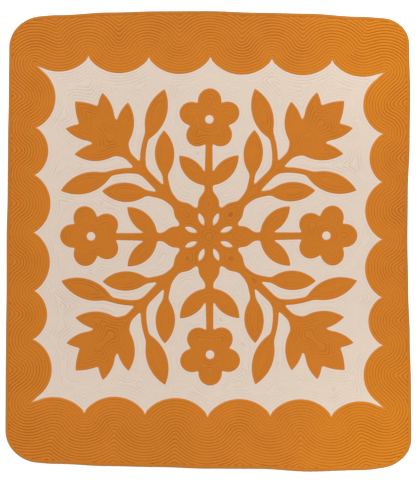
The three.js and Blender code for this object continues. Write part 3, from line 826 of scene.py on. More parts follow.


# %% [markdown]
# ## The cotton
#
# All the cloth is plain woven cotton: threads in two directions that pass over and under each other in
# turn. A sine in each direction gives rounded threads, and the sign of their product says which one is on
# top, so one small group makes the weave's height at any size.
#
# A quilt is washed cloth under tension. Its colour drifts a little from place to place, some threads are
# thicker than others, and beside every row of stitches the cloth is drawn into tiny puckers. There its
# colour is painted darker, as painted shade for the light that gets lost between them. A second group
# makes these from one mask, the furrow, which is 1 at the stitches and 0 on the crest of a puff.

# %% Weave
def plain_weave():
    """The height of a plain weave, from 0 to 1."""
    inputs = {"Vector": ("Vector", None), "Thread": ("Float", 0.5 * MM)}
    tree, given = new_tree("Plain weave", "ShaderNodeTree", inputs, {"Height": "Float"})
    turns = maths(tree, "DIVIDE", math.pi, given["Thread"])
    places = result(tree, "ShaderNodeVectorMath", {0: given["Vector"], "Scale": turns}, operation="SCALE")
    place = add(tree, "ShaderNodeSeparateXYZ", {0: places}).outputs
    upright, level = maths(tree, "SINE", place[0]), maths(tree, "SINE", place[1])
    on_top = maths(tree, "MULTIPLY", upright, level)
    over = maths(tree, "MULTIPLY_ADD", on_top, 0.5, 0.5)
    under = maths(tree, "MULTIPLY_ADD", on_top, -0.5, 0.5)
    warp = maths(tree, "MULTIPLY", maths(tree, "ABSOLUTE", upright), over)
    weft = maths(tree, "MULTIPLY", maths(tree, "ABSOLUTE", level), under)
    add(tree, "NodeGroupOutput", {"Height": maths(tree, "MAXIMUM", warp, weft)})
    return tree


# %% Drifting colour and puckers
DRIFT_SCALE, DRIFT_SHARE = 2.1, 0.6
CLOUD_SCALE, CLOUD_SHARE = 17.0, 0.5
SLUB_ALONG, SLUB_ACROSS, SLUB_SHARE = 25.0, 1300.0, 0.5
PUCKER_SCALE, PUCKER_SHARE = 170.0, 0.6
FURROW_FADE = (0.2, 1.1)
ROUGHNESS, ROUGHNESS_DRIFT = 0.88, 0.1


def noise(tree, vector, scale, detail=1.0):
    """A noise that goes about as far below 0 as above it."""
    made = add(tree, "ShaderNodeTexNoise", {"Vector": vector, "Scale": scale, "Detail": detail})
    return maths(tree, "SUBTRACT", made.outputs[0], 0.5)


def between(tree, share, first, last):
    """A colour between two others."""
    return add(tree, "ShaderNodeMix", {0: share, 6: first, 7: last}, data_type="RGBA").outputs[2]


def smooth_step(tree, value, low, high):
    """0 up to a low value, 1 from a high one on, and a smooth rise between them."""
    return result(tree, "ShaderNodeMapRange", {0: value, 1: low, 2: high}, interpolation_type="SMOOTHSTEP")


# %% Cotton with rows of stitches in it
def sewn_cotton():
    """The colour with painted shade in the furrows, the roughness and the puckers of quilted cotton."""
    tree, given = new_tree("Sewn cotton", "ShaderNodeTree", {
        "Vector": ("Vector", None),
        "Color": ("Color", (1, 1, 1, 1)),
        "Painted Shade Color": ("Color", (0.5, 0.5, 0.5, 1)),
        "Furrow": ("Float", 0.0),
        "Unevenness": ("Float", 0.1),
        "Pucker": ("Float", 0.3 * MM),
    }, {"Color": "Color", "Roughness": "Float", "Height": "Float"})
    vector = given["Vector"]
    clouds = noise(tree, vector, CLOUD_SCALE, 3.0)
    tone = maths(tree, "MULTIPLY", noise(tree, vector, DRIFT_SCALE), DRIFT_SHARE)
    tone = maths(tree, "MULTIPLY_ADD", clouds, CLOUD_SHARE, tone)
    for stretch in ((SLUB_ALONG, SLUB_ACROSS, 1), (SLUB_ACROSS, SLUB_ALONG, 1)):
        threads = result(tree, "ShaderNodeMapping", {"Vector": vector, "Scale": stretch})
        tone = maths(tree, "MULTIPLY_ADD", noise(tree, threads, 1.0), SLUB_SHARE, tone)
    light = maths(tree, "MULTIPLY_ADD", tone, given["Unevenness"], 1.0)

    puckers = noise(tree, vector, PUCKER_SCALE)
    # Painted shade: the colour turns to the darker one in the furrows, broken up by the puckers.
    in_furrow = maths(tree, "MULTIPLY_ADD", puckers, PUCKER_SHARE, given["Furrow"])
    in_furrow = smooth_step(tree, in_furrow, *FURROW_FADE)
    color = between(tree, in_furrow, given["Color"], given["Painted Shade Color"])
    lit = result(tree, "ShaderNodeVectorMath", {0: color, "Scale": light}, operation="SCALE")
    drawn_in = maths(tree, "MULTIPLY", maths(tree, "MULTIPLY", puckers, given["Furrow"]), given["Pucker"])
    add(tree, "NodeGroupOutput", {
        "Color": lit,
        "Roughness": maths(tree, "MULTIPLY_ADD", clouds, ROUGHNESS_DRIFT, ROUGHNESS),
        "Height": drawn_in,
    })
    return tree


# %% [markdown]
# ## The finishes
#
# Four cottons are made from the two groups: the cream, the border's orange, the centre's, which is a shade
# deeper, and the binding's. Each has a second, darker colour that is painted shade, in its furrows or, on the
# binding, along its outer edge. The border and the binding also have painted light in the quilt's two right
# corners, a brighter colour there. Cloth that lies flat reads its weave from the object's own coordinates.
# The binding's threads run along its strip, so it reads a UV map that is measured in metres on the strip.
# Cotton scatters a little light at a glancing angle from its loose fibres, which is what the sheen is for.
# Thread is a plainer material, with a tone of its own for each stitch.

# %% What the cottons share
THREAD = 0.5 * MM
THREAD_RELIEF = 0.12 * MM
SHEEN, SHEEN_ROUGHNESS, SPECULAR = 0.08, 0.5, 0.25
# Where the painted light of the right corners begins and ends, in x and y.
PAINTED_LIGHT_X, PAINTED_LIGHT_Y = (0.3, 1.0), (0.2, 1.1)

weave = plain_weave()
sewn = sewn_cotton()


def right_corners(tree):
    """1 in the two right corners of the quilt, fading to 0 towards its middle."""
    places = add(tree, "ShaderNodeTexCoord").outputs["Object"]
    x, y, _ = add(tree, "ShaderNodeSeparateXYZ", {0: places}).outputs
    to_right = smooth_step(tree, x, *PAINTED_LIGHT_X)
    return maths(tree, "MULTIPLY", to_right, smooth_step(tree, maths(tree, "ABSOLUTE", y), *PAINTED_LIGHT_Y))


# %% Four cottons
def cotton(name, color, painted_shade_color, mask="furrow", unevenness=0.12, uv=None, painted_light_color=None):
    """A plain woven cotton whose painted shade and relief follow one of the piece's point values."""
    material = bpy.data.materials.new(name)
    material.use_nodes = True
    tree = material.node_tree
    shader = tree.nodes["Principled BSDF"]
    if uv:
        places = result(tree, "ShaderNodeUVMap", uv_map=uv)
    else:
        places = add(tree, "ShaderNodeTexCoord").outputs["Object"]
    furrow = add(tree, "ShaderNodeAttribute", attribute_name=mask).outputs["Fac"]
    color = (*color, 1)
    # Painted light: a brighter colour in the quilt's two right corners.
    if painted_light_color:
        color = between(tree, right_corners(tree), color, (*painted_light_color, 1))
    threads = add(tree, "ShaderNodeGroup", {"Vector": places, "Thread": THREAD}, node_tree=weave)
    look = add(tree, "ShaderNodeGroup", {
        "Vector": places,
        "Color": color,
        "Painted Shade Color": (*painted_shade_color, 1),
        "Furrow": furrow,
        "Unevenness": unevenness,
    }, node_tree=sewn)
    height = maths(tree, "MULTIPLY_ADD", threads.outputs[0], THREAD_RELIEF, look.outputs["Height"])
    bump = add(tree, "ShaderNodeBump", {"Height": height, "Distance": 1.0, "Strength": 1.0})
    tree.links.new(look.outputs["Color"], shader.inputs["Base Color"])
    tree.links.new(look.outputs["Roughness"], shader.inputs["Roughness"])
    tree.links.new(bump.outputs[0], shader.inputs["Normal"])
    shader.inputs["Sheen Weight"].default_value = SHEEN
    shader.inputs["Sheen Roughness"].default_value = SHEEN_ROUGHNESS
    shader.inputs["Specular IOR Level"].default_value = SPECULAR
    return material


# Each orange, and its brighter colour for the painted light in the right corners.
border_orange, painted_light_orange = (0.515, 0.161, 0.008), (0.53, 0.175, 0.002)
turned_orange, painted_light_turned = (0.45, 0.142, 0.008), (0.46, 0.15, 0.003)

# Each cotton's second colour is painted shade: in the furrows, and along the binding's outer edge.
cream_cotton = cotton("cream_cotton", (0.612, 0.514, 0.436), (0.508, 0.414, 0.343), unevenness=0.05)
orange_cotton = cotton("orange_cotton", border_orange, (0.34, 0.089, 0.002), painted_light_color=painted_light_orange)
centre_cotton = cotton("orange_cotton_centre", (0.482, 0.149, 0.008), (0.315, 0.083, 0.002))
binding_cotton = cotton(
    "orange_binding", turned_orange, (0.35, 0.152, 0.033), mask="worn", uv="strip", painted_light_color=painted_light_turned
)


# %% Sewing thread
FIBRE_SCALE, FIBRE_RELIEF = 2400.0, 0.1 * MM
THREAD_ROUGHNESS, THREAD_DRIFT = 0.7, 0.2


def sewing_thread(name, pale, deep):
    """A matt thread whose stitches differ a little in tone."""
    material = bpy.data.materials.new(name)
    material.use_nodes = True
    tree = material.node_tree
    shader = tree.nodes["Principled BSDF"]
    tone = add(tree, "ShaderNodeAttribute", attribute_name="tone").outputs["Fac"]
    fibres = noise(tree, add(tree, "ShaderNodeTexCoord").outputs["Object"], FIBRE_SCALE)
    bump = add(tree, "ShaderNodeBump", {"Height": fibres, "Distance": FIBRE_RELIEF, "Strength": 1.0})
    tree.links.new(between(tree, tone, (*deep, 1), (*pale, 1)), shader.inputs["Base Color"])
    roughness = maths(tree, "MULTIPLY_ADD", fibres, THREAD_DRIFT, THREAD_ROUGHNESS)
    tree.links.new(roughness, shader.inputs["Roughness"])
    tree.links.new(bump.outputs[0], shader.inputs["Normal"])
    return material


cream_thread = sewing_thread("cream_thread", (0.62, 0.53, 0.45), (0.52, 0.43, 0.36))
orange_thread = sewing_thread("orange_thread", (0.52, 0.17, 0.025), (0.4, 0.12, 0.012))
print([material.name for material in bpy.data.materials])

# %% [markdown]
# ## Puffs between the rows
#
# Filling rises between two rows of stitches, steeply beside the thread and flat on top. Cloth under tension
# has that shape: a sine over one pitch, raised to a power below 1. A Geometry Nodes tree lifts the points
# by it, since all four cloths follow the same rule at other sizes. It reads each point's distance from the
# orange edge, turns it into a share of the pitch, and adds slow lumps, because the filling isn't spread
# evenly. Near the quilt's outline the puffs fade, where the binding presses the layers flat.
#
# The rows aren't drawn equally tight. They are softest beside the scallops and in the centre, and tightest
# in the four corners of the quilt, so a strength scales the puffs and the furrows together. It keeps the
# furrow as a value of each point, for the painted shade in the colours, and ends it before the orange edge,
# which no row is sewn along. Beside the binding it adds a line of painted shade to that value.

# %% How tightly the rows are drawn
# How deep a row lies when it is drawn fully tight, and where the quilt's corners begin and end in x and y.
DEEP = 120 * MM
CORNER_X, CORNER_Y = (0.6, 0.95), (0.3, 1.1)


def point_value(tree, name):
    """A value that each point of the geometry keeps under a name."""
    return result(tree, "GeometryNodeInputNamedAttribute", {"Name": name}, data_type="FLOAT")


def with_value(tree, geometry, name, value, domain="POINT"):
    """The geometry with a value kept under a name."""
    kept = {"Geometry": geometry, "Name": name, "Value": value}
    return result(tree, "GeometryNodeStoreNamedAttribute", kept, data_type="FLOAT", domain=domain)


def about_one(tree, given, place, size, amount):
    """A slow noise about 1, of which no two pieces have the same."""
    made = {"Vector": place, "W": given["Seed"], "Scale": maths(tree, "DIVIDE", 1.0, size), "Detail": 1.0}
    made = result(tree, "ShaderNodeTexNoise", made, noise_dimensions="4D")
    return maths(tree, "MULTIPLY_ADD", maths(tree, "SUBTRACT", made, 0.5), amount, 1.0)


def row_strength(tree, given, place, from_edge):
    """How tightly a row is drawn: by its depth, in slow patches, and more in the quilt's corners."""
    deep = {0: from_edge, 1: 2 * ROW_PITCH, 2: DEEP, 3: given["Edge Strength"], 4: given["Deep Strength"]}
    strength = result(tree, "ShaderNodeMapRange", deep)
    patches = about_one(tree, given, place, given["Patch Size"], given["Patchiness"])
    strength = maths(tree, "MULTIPLY", strength, patches)
    x, y, _ = add(tree, "ShaderNodeSeparateXYZ", {0: place}).outputs
    to_side = smooth_step(tree, maths(tree, "ABSOLUTE", x), *CORNER_X)
    to_end = smooth_step(tree, maths(tree, "ABSOLUTE", y), *CORNER_Y)
    corner = maths(tree, "MULTIPLY", to_side, to_end)
    return maths(tree, "MULTIPLY_ADD", corner, given["Corner Strength"], strength)


# %% A tree for the puffs
# The shade beside the binding and how far it reaches, how far from the orange edge furrows begin, and the
# slopes from which, and above which, rows lie close enough to hold the cloth down.
SEAM_SHADE = 0.8
SEAM_FADE = 4 * MM
FIRST_FURROW = 5 * MM
ROW_SLOPES = (0.3, 0.7)


def puffed_rows():
    """Puff the cloth between its rows, and keep how deep in a furrow each point lies."""
    tree, given = new_tree("Puffed rows", "GeometryNodeTree", {
        "Geometry": ("Geometry", None),
        "Row Pitch": ("Float", ROW_PITCH),
        "Puff": ("Float", 2 * MM),
        "Steepness": ("Float", 0.65),
        "Unevenness": ("Float", 0.3),
        "Lump Size": ("Float", 45 * MM),
        "Edge Strength": ("Float", 1.0),
        "Deep Strength": ("Float", 1.0),
        "Corner Strength": ("Float", 0.0),
        "Patchiness": ("Float", 0.0),
        "Patch Size": ("Float", 110 * MM),
        "Rim": ("Object", None),
        "Rim Flat": ("Float", BINDING_WIDTH - 1 * MM),
        "Rim Rise": ("Float", 6 * MM),
        "Seed": ("Int", 1),
        "Cloth": ("Material", None),
    }, {"Geometry": "Geometry"})
    from_edge = point_value(tree, "depth")
    share = maths(tree, "FRACT", maths(tree, "DIVIDE", from_edge, given["Row Pitch"]))
    half_turn = maths(tree, "MAXIMUM", maths(tree, "SINE", maths(tree, "MULTIPLY", share, math.pi)), 0.0)
    hollow = maths(tree, "SUBTRACT", 1.0, maths(tree, "POWER", half_turn, given["Steepness"]))
    hollow = maths(tree, "MULTIPLY", hollow, smooth_step(tree, point_value(tree, "slope"), *ROW_SLOPES))
    arch = maths(tree, "SUBTRACT", 1.0, hollow)

    place = result(tree, "GeometryNodeInputPosition")
    lumps = about_one(tree, given, place, given["Lump Size"], given["Unevenness"])
    strength = row_strength(tree, given, place, from_edge)
    rim_wire = add(tree, "GeometryNodeObjectInfo", {"Object": given["Rim"]}).outputs["Geometry"]
    to_rim = add(tree, "GeometryNodeProximity", {0: rim_wire}, target_element="EDGES").outputs["Distance"]
    risen = maths(tree, "ADD", given["Rim Flat"], given["Rim Rise"])
    fade = smooth_step(tree, to_rim, given["Rim Flat"], risen)

    rise = given["Puff"]
    for factor in (arch, lumps, strength, fade, point_value(tree, "lifted")):
        rise = maths(tree, "MULTIPLY", rise, factor)
    offset = result(tree, "ShaderNodeCombineXYZ", {2: rise})
    moved = result(tree, "GeometryNodeSetPosition", {"Geometry": given["Geometry"], "Offset": offset})
    # The furrow value is also painted shade: the colours darken in the furrows and in a line beside the
    # binding.
    furrow = maths(tree, "MULTIPLY", hollow, strength)
    furrow = maths(tree, "MULTIPLY", furrow, smooth_step(tree, from_edge, 0.0, FIRST_FURROW))
    past_seam = smooth_step(tree, to_rim, BINDING_WIDTH, BINDING_WIDTH + SEAM_FADE)
    furrow = maths(tree, "MAXIMUM", furrow, maths(tree, "SUBTRACT", SEAM_SHADE, past_seam))
    finish_tree(tree, with_value(tree, moved, "furrow", furrow), given["Cloth"])
    return tree


# %% End a tree, and run one
def finish_tree(tree, geometry, material):
    """End a tree with plain geometry in one material."""
    plain = result(tree, "GeometryNodeRealizeInstances", {"Geometry": geometry})
    painted = result(tree, "GeometryNodeSetMaterial", {"Geometry": plain, "Material": material})
    add(tree, "NodeGroupOutput", {"Geometry": painted})


def shaped_by(tree, obj, sizes):
    """Run a tree on an object and keep what it makes as the object's own mesh."""
    modifier = obj.modifiers.new(tree.name, "NODES")
    modifier.node_group = tree
    sockets = {item.name: item.identifier for item in tree.interface.items_tree if item.in_out == "INPUT"}
    for name, value in sizes.items():
        modifier[sockets[name]] = value
    graph = bpy.context.evaluated_depsgraph_get()
    seen = obj.evaluated_get(graph)
    made = bpy.data.meshes.new_from_object(seen, preserve_all_data_layers=True, depsgraph=graph)
    obj.modifiers.remove(modifier)
    obj.data = made
    print(obj.name, len(made.polygons), "faces")
    return obj


# %% Lines as wires
def wire(name, lines, height):
    """A mesh of edges alone along some lines, from (points, whether it is closed)."""
    places, edges = [], []
    for points, closed in lines:
        first, count = len(places), len(points)
        places += [(x, y, height) for x, y in (points - table_middle).tolist()]
        edges += [(first + i, first + i + 1) for i in range(count - 1)]
        if closed:
            edges.append((first + count - 1, first))
    mesh = bpy.data.meshes.new(name)
    mesh.from_pydata(places, edges, [])
    obj = bpy.data.objects.new(name, mesh)
    bpy.context.scene.collection.objects.link(obj)
    return obj


# The outline as a wire, which becomes the binding later.
rim_wire = wire("binding", [(evenly(outline, OUTLINE_STEP), True)], 0.0)

# %% Puff the four cloths
rows_tree = puffed_rows()
PUFFS = (
    (cream_top, cream_cotton, {
        "Puff": 1.0 * MM, "Edge Strength": 0.55, "Deep Strength": 0.88, "Patchiness": 3.4,
    }),
    (border, orange_cotton, {
        "Puff": 1.8 * MM, "Edge Strength": 0.74, "Deep Strength": 1.07, "Patchiness": 1.0,
        "Corner Strength": 0.3,
    }),
    (centre, centre_cotton, {
        "Puff": 1.35 * MM, "Edge Strength": 0.54, "Deep Strength": 0.93, "Patchiness": 3.0,
    }),
    (back, cream_cotton, {"Puff": -0.8 * MM, "Edge Strength": 0.9}),
)
for seed, (piece, finish, amounts) in enumerate(PUFFS, 1):
    shaped_by(rows_tree, piece, {**amounts, "Rim": rim_wire, "Seed": seed, "Cloth": finish})

# %% [markdown]
# ## Stitches
#
# Running stitch shows as a short thread, a gap, and another thread. Each stitch is a spindle with only six
# faces, because there are tens of thousands: the tree walks along the rows, drops a spindle at every pitch,
# turns it along the row with one ridge up, and varies its length and its turn, as a hand does.
#
# Every stitch goes through all the layers, so the rows show on the back too, in the same threads.
#
# The same tree sews the orange edges down, and the binding to the back. There the stitches are shorter and
# cross the edge, so its slant turns them.

# %% A tree for the stitches
def running_stitch():
    """Lay a spindle at every pitch along the edges of a wire."""
    tree, given = new_tree("Running stitch", "GeometryNodeTree", {
        "Geometry": ("Geometry", None),
        "Stitch Pitch": ("Float", 7.2 * MM),
        "Length": ("Float", 3.9 * MM),
        "Thickness": ("Float", 0.7 * MM),
        "Slant": ("Float", 0.0),
        "Ridge": ("Vector", (0, 0, 1)),
        "Unevenness": ("Float", 0.2),
        "Seed": ("Int", 1),
        "Thread": ("Material", None),
    }, {"Geometry": "Geometry"})

    def chance(low, high, salt):
        """A random number for each stitch."""
        limits = {2: low, 3: high, "Seed": maths(tree, "ADD", given["Seed"], salt)}
        return add(tree, "FunctionNodeRandomValue", limits, data_type="FLOAT").outputs[1]

    path = result(tree, "GeometryNodeMeshToCurve", {0: given["Geometry"]})
    even = {"Curve": path, "Length": given["Stitch Pitch"]}
    even = result(tree, "GeometryNodeResampleCurve", even, mode="LENGTH")
    spindle = result(tree, "GeometryNodeMeshUVSphere", {"Segments": 3, "Rings": 2, "Radius": 0.5})

    ridge = result(tree, "FunctionNodeAlignRotationToVector", {"Vector": given["Ridge"]}, axis="X")
    ahead = {"Rotation": ridge, "Vector": result(tree, "GeometryNodeInputTangent")}
    ahead = result(tree, "FunctionNodeAlignRotationToVector", ahead, axis="Z", pivot_axis="X")
    off_line = maths(tree, "MULTIPLY_ADD", chance(-1.0, 1.0, 10), given["Unevenness"], given["Slant"])
    turn = result(tree, "FunctionNodeAxisAngleToRotation", {"Axis": (1, 0, 0), "Angle": off_line})
    turned = {"Rotation": ahead, "Rotate By": turn}
    turned = result(tree, "FunctionNodeRotateRotation", turned, rotation_space="LOCAL")

    long = maths(tree, "MULTIPLY_ADD", chance(-1.0, 1.0, 20), given["Unevenness"], 1.0)
    size = {0: given["Thickness"], 1: given["Thickness"], 2: maths(tree, "MULTIPLY", long, given["Length"])}
    size = result(tree, "ShaderNodeCombineXYZ", size)
    laid = {"Points": even, "Instance": spindle, "Rotation": turned, "Scale": size}
    laid = result(tree, "GeometryNodeInstanceOnPoints", laid)
    toned = with_value(tree, laid, "tone", chance(0.0, 1.0, 30), "INSTANCE")
    toned = result(tree, "GeometryNodeRealizeInstances", {"Geometry": toned})
    toned = result(tree, "GeometryNodeSetShadeSmooth", {"Geometry": toned, "Shade Smooth": True})
    finish_tree(tree, toned, given["Thread"])
    return tree


# %% Sew the rows
stitch_tree = running_stitch()
THREAD_RISE = 0.15 * MM
DOWN = (0, 0, -1)


def row_lines(regions, spacing):
    """The stitched rows of some regions, from (points, whether it is closed)."""
    sewn_rows = creases_of(regions, spacing, (0.0,), BINDING_WIDTH + 2 * MM)
    return [(line, closed) for line, _, closed, _ in sewn_rows]


def metres(lines):
    """The length of some lines together."""
    return sum(np.hypot(*np.diff(line, axis=0).T).sum() for line, _ in lines)


def sew(name, lines, height, thread, **sizes):
    """Stitches along some lines at a height, as a new piece."""
    sizes = {key.replace("_", " ").title(): value for key, value in sizes.items()}
    return shaped_by(stitch_tree, wire(name, lines, height), {**sizes, "Seed": len(name), "Thread": thread})


stitches, stitches_below = [], []
for name, regions, spacing, height, thread in (
    ("ground_quilting", {"cream"}, CREAM_SPACING, TOP_FURROW, cream_thread),
    ("border_quilting", {"border"}, BORDER_SPACING, ORANGE_FURROW, orange_thread),
    ("centre_quilting", {"centre"}, CENTRE_SPACING, ORANGE_FURROW, orange_thread),
):
    lines = row_lines(regions, spacing)
    print(name, round(metres(lines), 1), "m of rows")
    stitches.append(sew(name, lines, height + THREAD_RISE, thread))
    stitches_below.append(sew(name + "_below", lines, BACK_FURROW - THREAD_RISE, thread, ridge=DOWN))

# %% Sew the edges down
SEAM_HEIGHT = 0.5 * MM
HEM = {"stitch_pitch": 6 * MM, "length": 2.4 * MM, "thickness": 0.5 * MM, "slant": math.radians(60)}
for name, lines in (("border_hemming", [scallops]), ("centre_hemming", centre_edges)):
    lines = [(line, True) for line in lines]
    stitches.append(sew(name, lines, ORANGE_FURROW - THREAD_RISE, orange_thread, **HEM))
binding_seam = [(moved_out(evenly(outline, OUTLINE_STEP), -BINDING_WIDTH), True)]
stitches_below.append(sew("binding_hemming", binding_seam, SEAM_HEIGHT, orange_thread, ridge=DOWN, **HEM))

# %% [markdown]
# ## The binding
#
# The binding is one long strip, folded over the edge of all layers and sewn down on both faces. Its section
# is the same all the way round, so it is drawn once, as a bent strip seen from its end, and a tree sweeps
# it along the outline with the section kept upright. The tree notes how far along and how far round each
# point is. Those two lengths are the strip's own flat measures, so they become its UV map.

# %% The binding's section
# Seen from its end: (distance in from the quilt's outline, height), in millimetres. It goes round the
# outside from the fold on the face, over the nose, to the fold below, and back inside.
BINDING_SECTION = [
    (16.5, 4.4), (16.8, 4.7), (16.4, 5.0), (14.2, 5.3), (10.5, 5.5), (6.5, 5.45), (3.4, 5.1), (1.5, 4.5),
    (0.4, 3.7), (0.0, 2.8), (0.3, 1.8), (1.2, 0.9), (2.8, 0.3), (6.0, 0.05), (11.0, 0.0), (16.2, 0.05),
    (16.7, 0.4), (16.2, 0.8), (9.0, 0.85), (3.6, 0.95), (1.4, 1.6), (1.1, 2.8), (1.4, 4.0), (8.0, 4.4),
]
# The strip's lengths, measured round it from its start, over which the painted shade on its outer edge comes
# and goes.
EDGE_SHADE_FROM, EDGE_SHADE_TO = (9 * MM, 13 * MM), (21 * MM, 24 * MM)
BINDING_STATIONS = 920
# The heights between which the uneven filling comes in.
UPPER_SIDE = (3 * MM, 6 * MM)


# %% A tree for the binding
def folded_binding():
    """Sweep the section along the outline, with uneven filling under its upper side."""
    tree, given = new_tree("Folded binding", "GeometryNodeTree", {
        "Geometry": ("Geometry", None),
        "Section": ("Object", None),
        "Stations": ("Int", BINDING_STATIONS),
        "Unevenness": ("Float", 0.5 * MM),
        "Lump Size": ("Float", 40 * MM),
        "Cloth": ("Material", None),
    }, {"Geometry": "Geometry"})

    def measured(curve, name):
        """A curve that keeps the length up to each of its points."""
        length = add(tree, "GeometryNodeSplineParameter").outputs["Length"]
        return with_value(tree, curve, name, length)

    path = result(tree, "GeometryNodeMeshToCurve", {0: given["Geometry"]})
    stations = {"Curve": path, "Count": given["Stations"]}
    path = result(tree, "GeometryNodeResampleCurve", stations, mode="COUNT")
    path = result(tree, "GeometryNodeSetCurveNormal", {0: measured(path, "along")}, mode="Z_UP")
    section = add(tree, "GeometryNodeObjectInfo", {"Object": given["Section"]}).outputs["Geometry"]
    section = measured(result(tree, "GeometryNodeMeshToCurve", {0: section}), "around")
    strip = result(tree, "GeometryNodeCurveToMesh", {"Curve": path, "Profile Curve": section})
    strip = result(tree, "GeometryNodeSetShadeSmooth", {"Geometry": strip, "Shade Smooth": True})

    place = result(tree, "GeometryNodeInputPosition")
    lump = noise(tree, place, maths(tree, "DIVIDE", 1.0, given["Lump Size"]))
    height = add(tree, "ShaderNodeSeparateXYZ", {0: place}).outputs[2]
    upper = smooth_step(tree, height, *UPPER_SIDE)
    rise = maths(tree, "MULTIPLY", maths(tree, "MULTIPLY", lump, given["Unevenness"]), upper)
    rise = result(tree, "ShaderNodeCombineXYZ", {2: rise})
    strip = result(tree, "GeometryNodeSetPosition", {"Geometry": strip, "Offset": rise})
    # Painted shade: a darker, greyer outer edge, kept as a value of each point for the colour.
    around = point_value(tree, "around")
    comes, goes = (smooth_step(tree, around, *lengths) for lengths in (EDGE_SHADE_FROM, EDGE_SHADE_TO))
    worn = maths(tree, "SUBTRACT", comes, goes)
    finish_tree(tree, with_value(tree, strip, "worn", worn), given["Cloth"])
    return tree


# %% [markdown]
# The strip is eight metres long and less than a tenth of one round. One map holds it in metres, for the
# weave. The other is for baking, so it cuts the strip into rows that fill a square picture.

# %% Maps of the strip
BAKE_ROWS = 16
MAP_MARGIN, ROW_MARGIN = 0.01, 0.05


def values_of(mesh, name):
    """A value that a mesh keeps for each point."""
    values = np.empty(len(mesh.vertices), np.float32)
    mesh.attributes[name].data.foreach_get("value", values)
    return values.astype(float)


def corner_points(mesh):
    """The number of the point at each corner of each face."""
    corners = np.empty(len(mesh.loops), int)
    mesh.loops.foreach_get("vertex_index", corners)
    return corners


def strip_map(mesh, name, total, row_count=1):
    """A UV map of a swept strip of four-sided faces, in metres, or cut in rows that fill a square."""
    corners = corner_points(mesh)
    flat = []
    for key, whole in zip(("along", "around"), total):
        value = values_of(mesh, key)[corners].reshape(-1, 4)
        last_step = np.ptp(value, axis=1) > whole / 2
        value[last_step] += np.where(value[last_step] < whole / 2, whole, 0)
        flat.append(value)
    along, around = flat
    if row_count > 1:
        length = total[0] / row_count
        row = np.floor((along.min(1) + TINY) / length)[:, None]
        along = (along - row * length) / length * (1 - 2 * MAP_MARGIN) + MAP_MARGIN
        around = (row + ROW_MARGIN + (1 - 2 * ROW_MARGIN) * around / total[1]) / row_count
    layer = mesh.uv_layers.new(name=name)
    layer.data.foreach_set("uv", np.stack([along.ravel(), around.ravel()], 1).ravel().astype(np.float32))


# %% Sweep the binding
section_points = np.array(BINDING_SECTION) * MM * (-1, -1)
section_wire = wire("binding_section", [(section_points + table_middle, True)], 0.0)
binding = shaped_by(folded_binding(), rim_wire, {"Section": section_wire, "Cloth": binding_cotton})
bpy.data.objects.remove(section_wire)

around_whole = np.hypot(*(np.roll(section_points, -1, 0) - section_points).T).sum()
along_whole = values_of(binding.data, "along").max() * BINDING_STATIONS / (BINDING_STATIONS - 1)
strip_map(binding.data, "strip", (along_whole, around_whole))
strip_map(binding.data, "OFBake", (along_whole, around_whole), BAKE_ROWS)
print("binding", round(along_whole, 3), "m long,", round(around_whole / MM, 1), "mm round")

# %% [markdown]
# ## Flat maps for baking
#
# Each piece's finish can be baked into a picture that is wrapped round it by a UV map, named OFBake. A
# cloth that lies flat needs no unwrapping: its seen face is laid on the picture as it lies on the floor. The
# turned edges and the hidden face share a low band of it, so they take no room from what is seen.

# %% Lay the pieces out flat
HIDDEN_BAND = 0.05


def flat_map(piece, seen_side=1):
    """A planar UV map that keeps the faces that look up, or down, apart from the others."""
    mesh = piece.data
    normals = np.empty(3 * len(mesh.polygons), np.float32)
    mesh.polygons.foreach_get("normal", normals)
    places = np.empty(3 * len(mesh.vertices), np.float32)
    mesh.vertices.foreach_get("co", places)
    places = places.reshape(-1, 3)[corner_points(mesh), :2].astype(float)
    share = MAP_MARGIN + (1 - 2 * MAP_MARGIN) * (places - places.min(0)) / np.ptp(places, axis=0)
    seen = np.repeat(normals.reshape(-1, 3)[:, 2] * seen_side > 0.5, 3)
    share[:, 1] = np.where(seen, HIDDEN_BAND + (1 - HIDDEN_BAND) * share[:, 1], HIDDEN_BAND * share[:, 1])
    mesh.uv_layers.new(name="OFBake").data.foreach_set("uv", share.ravel().astype(np.float32))


for piece in (cream_top, border, centre, *stitches):
    flat_map(piece)
for piece in (back, *stitches_below):
    flat_map(piece, -1)

# %% [markdown]
# ## Light, floor and camera
#
# The photograph is taken straight on, with soft light that comes mostly from the top, and that draws the
# level rows more strongly than the upright ones. A lamp off each corner makes the corners brighter than the
# middle, the right ones most. The floor glows a little, as a white studio ground does, so the quilt casts
# hardly any shadow. The camera stands far back with a long lens, so the quilt's edges stay parallel.

# %% Light
DAYLIGHT, DAYLIGHT_STRENGTH = (1.0, 0.98, 0.96, 1), 0.38
WINDOW_STRENGTH, WINDOW_WIDTH, WINDOW_COLOR = 2.18, math.radians(28), (1.0, 0.985, 0.965)
FROM_WINDOW = (-0.28, 0.8, 0.64)
LAMP_SIZE, LAMP_COLOR = 0.8, (1.0, 0.98, 0.95)
# For each lamp, where it stands, what it is turned to, and its power.
LAMPS = {
    "top_left": ((-2.2, 2.4, 1.3), (-0.7, 0.8, 0), 28.5),
    "bottom_left": ((-2.2, -2.4, 1.3), (-0.7, -0.8, 0), 19.5),
    "top_right": ((1.7, 2.3, 1.2), (0.9, 0.9, 0), 31.5),
    "bottom_right": ((1.7, -2.3, 1.2), (0.9, -1.0, 0), 28.0),
}

world = bpy.data.worlds.new("studio")
world.use_nodes = True
world.node_tree.nodes["Background"].inputs["Color"].default_value = DAYLIGHT
world.node_tree.nodes["Background"].inputs["Strength"].default_value = DAYLIGHT_STRENGTH
bpy.context.scene.world = world

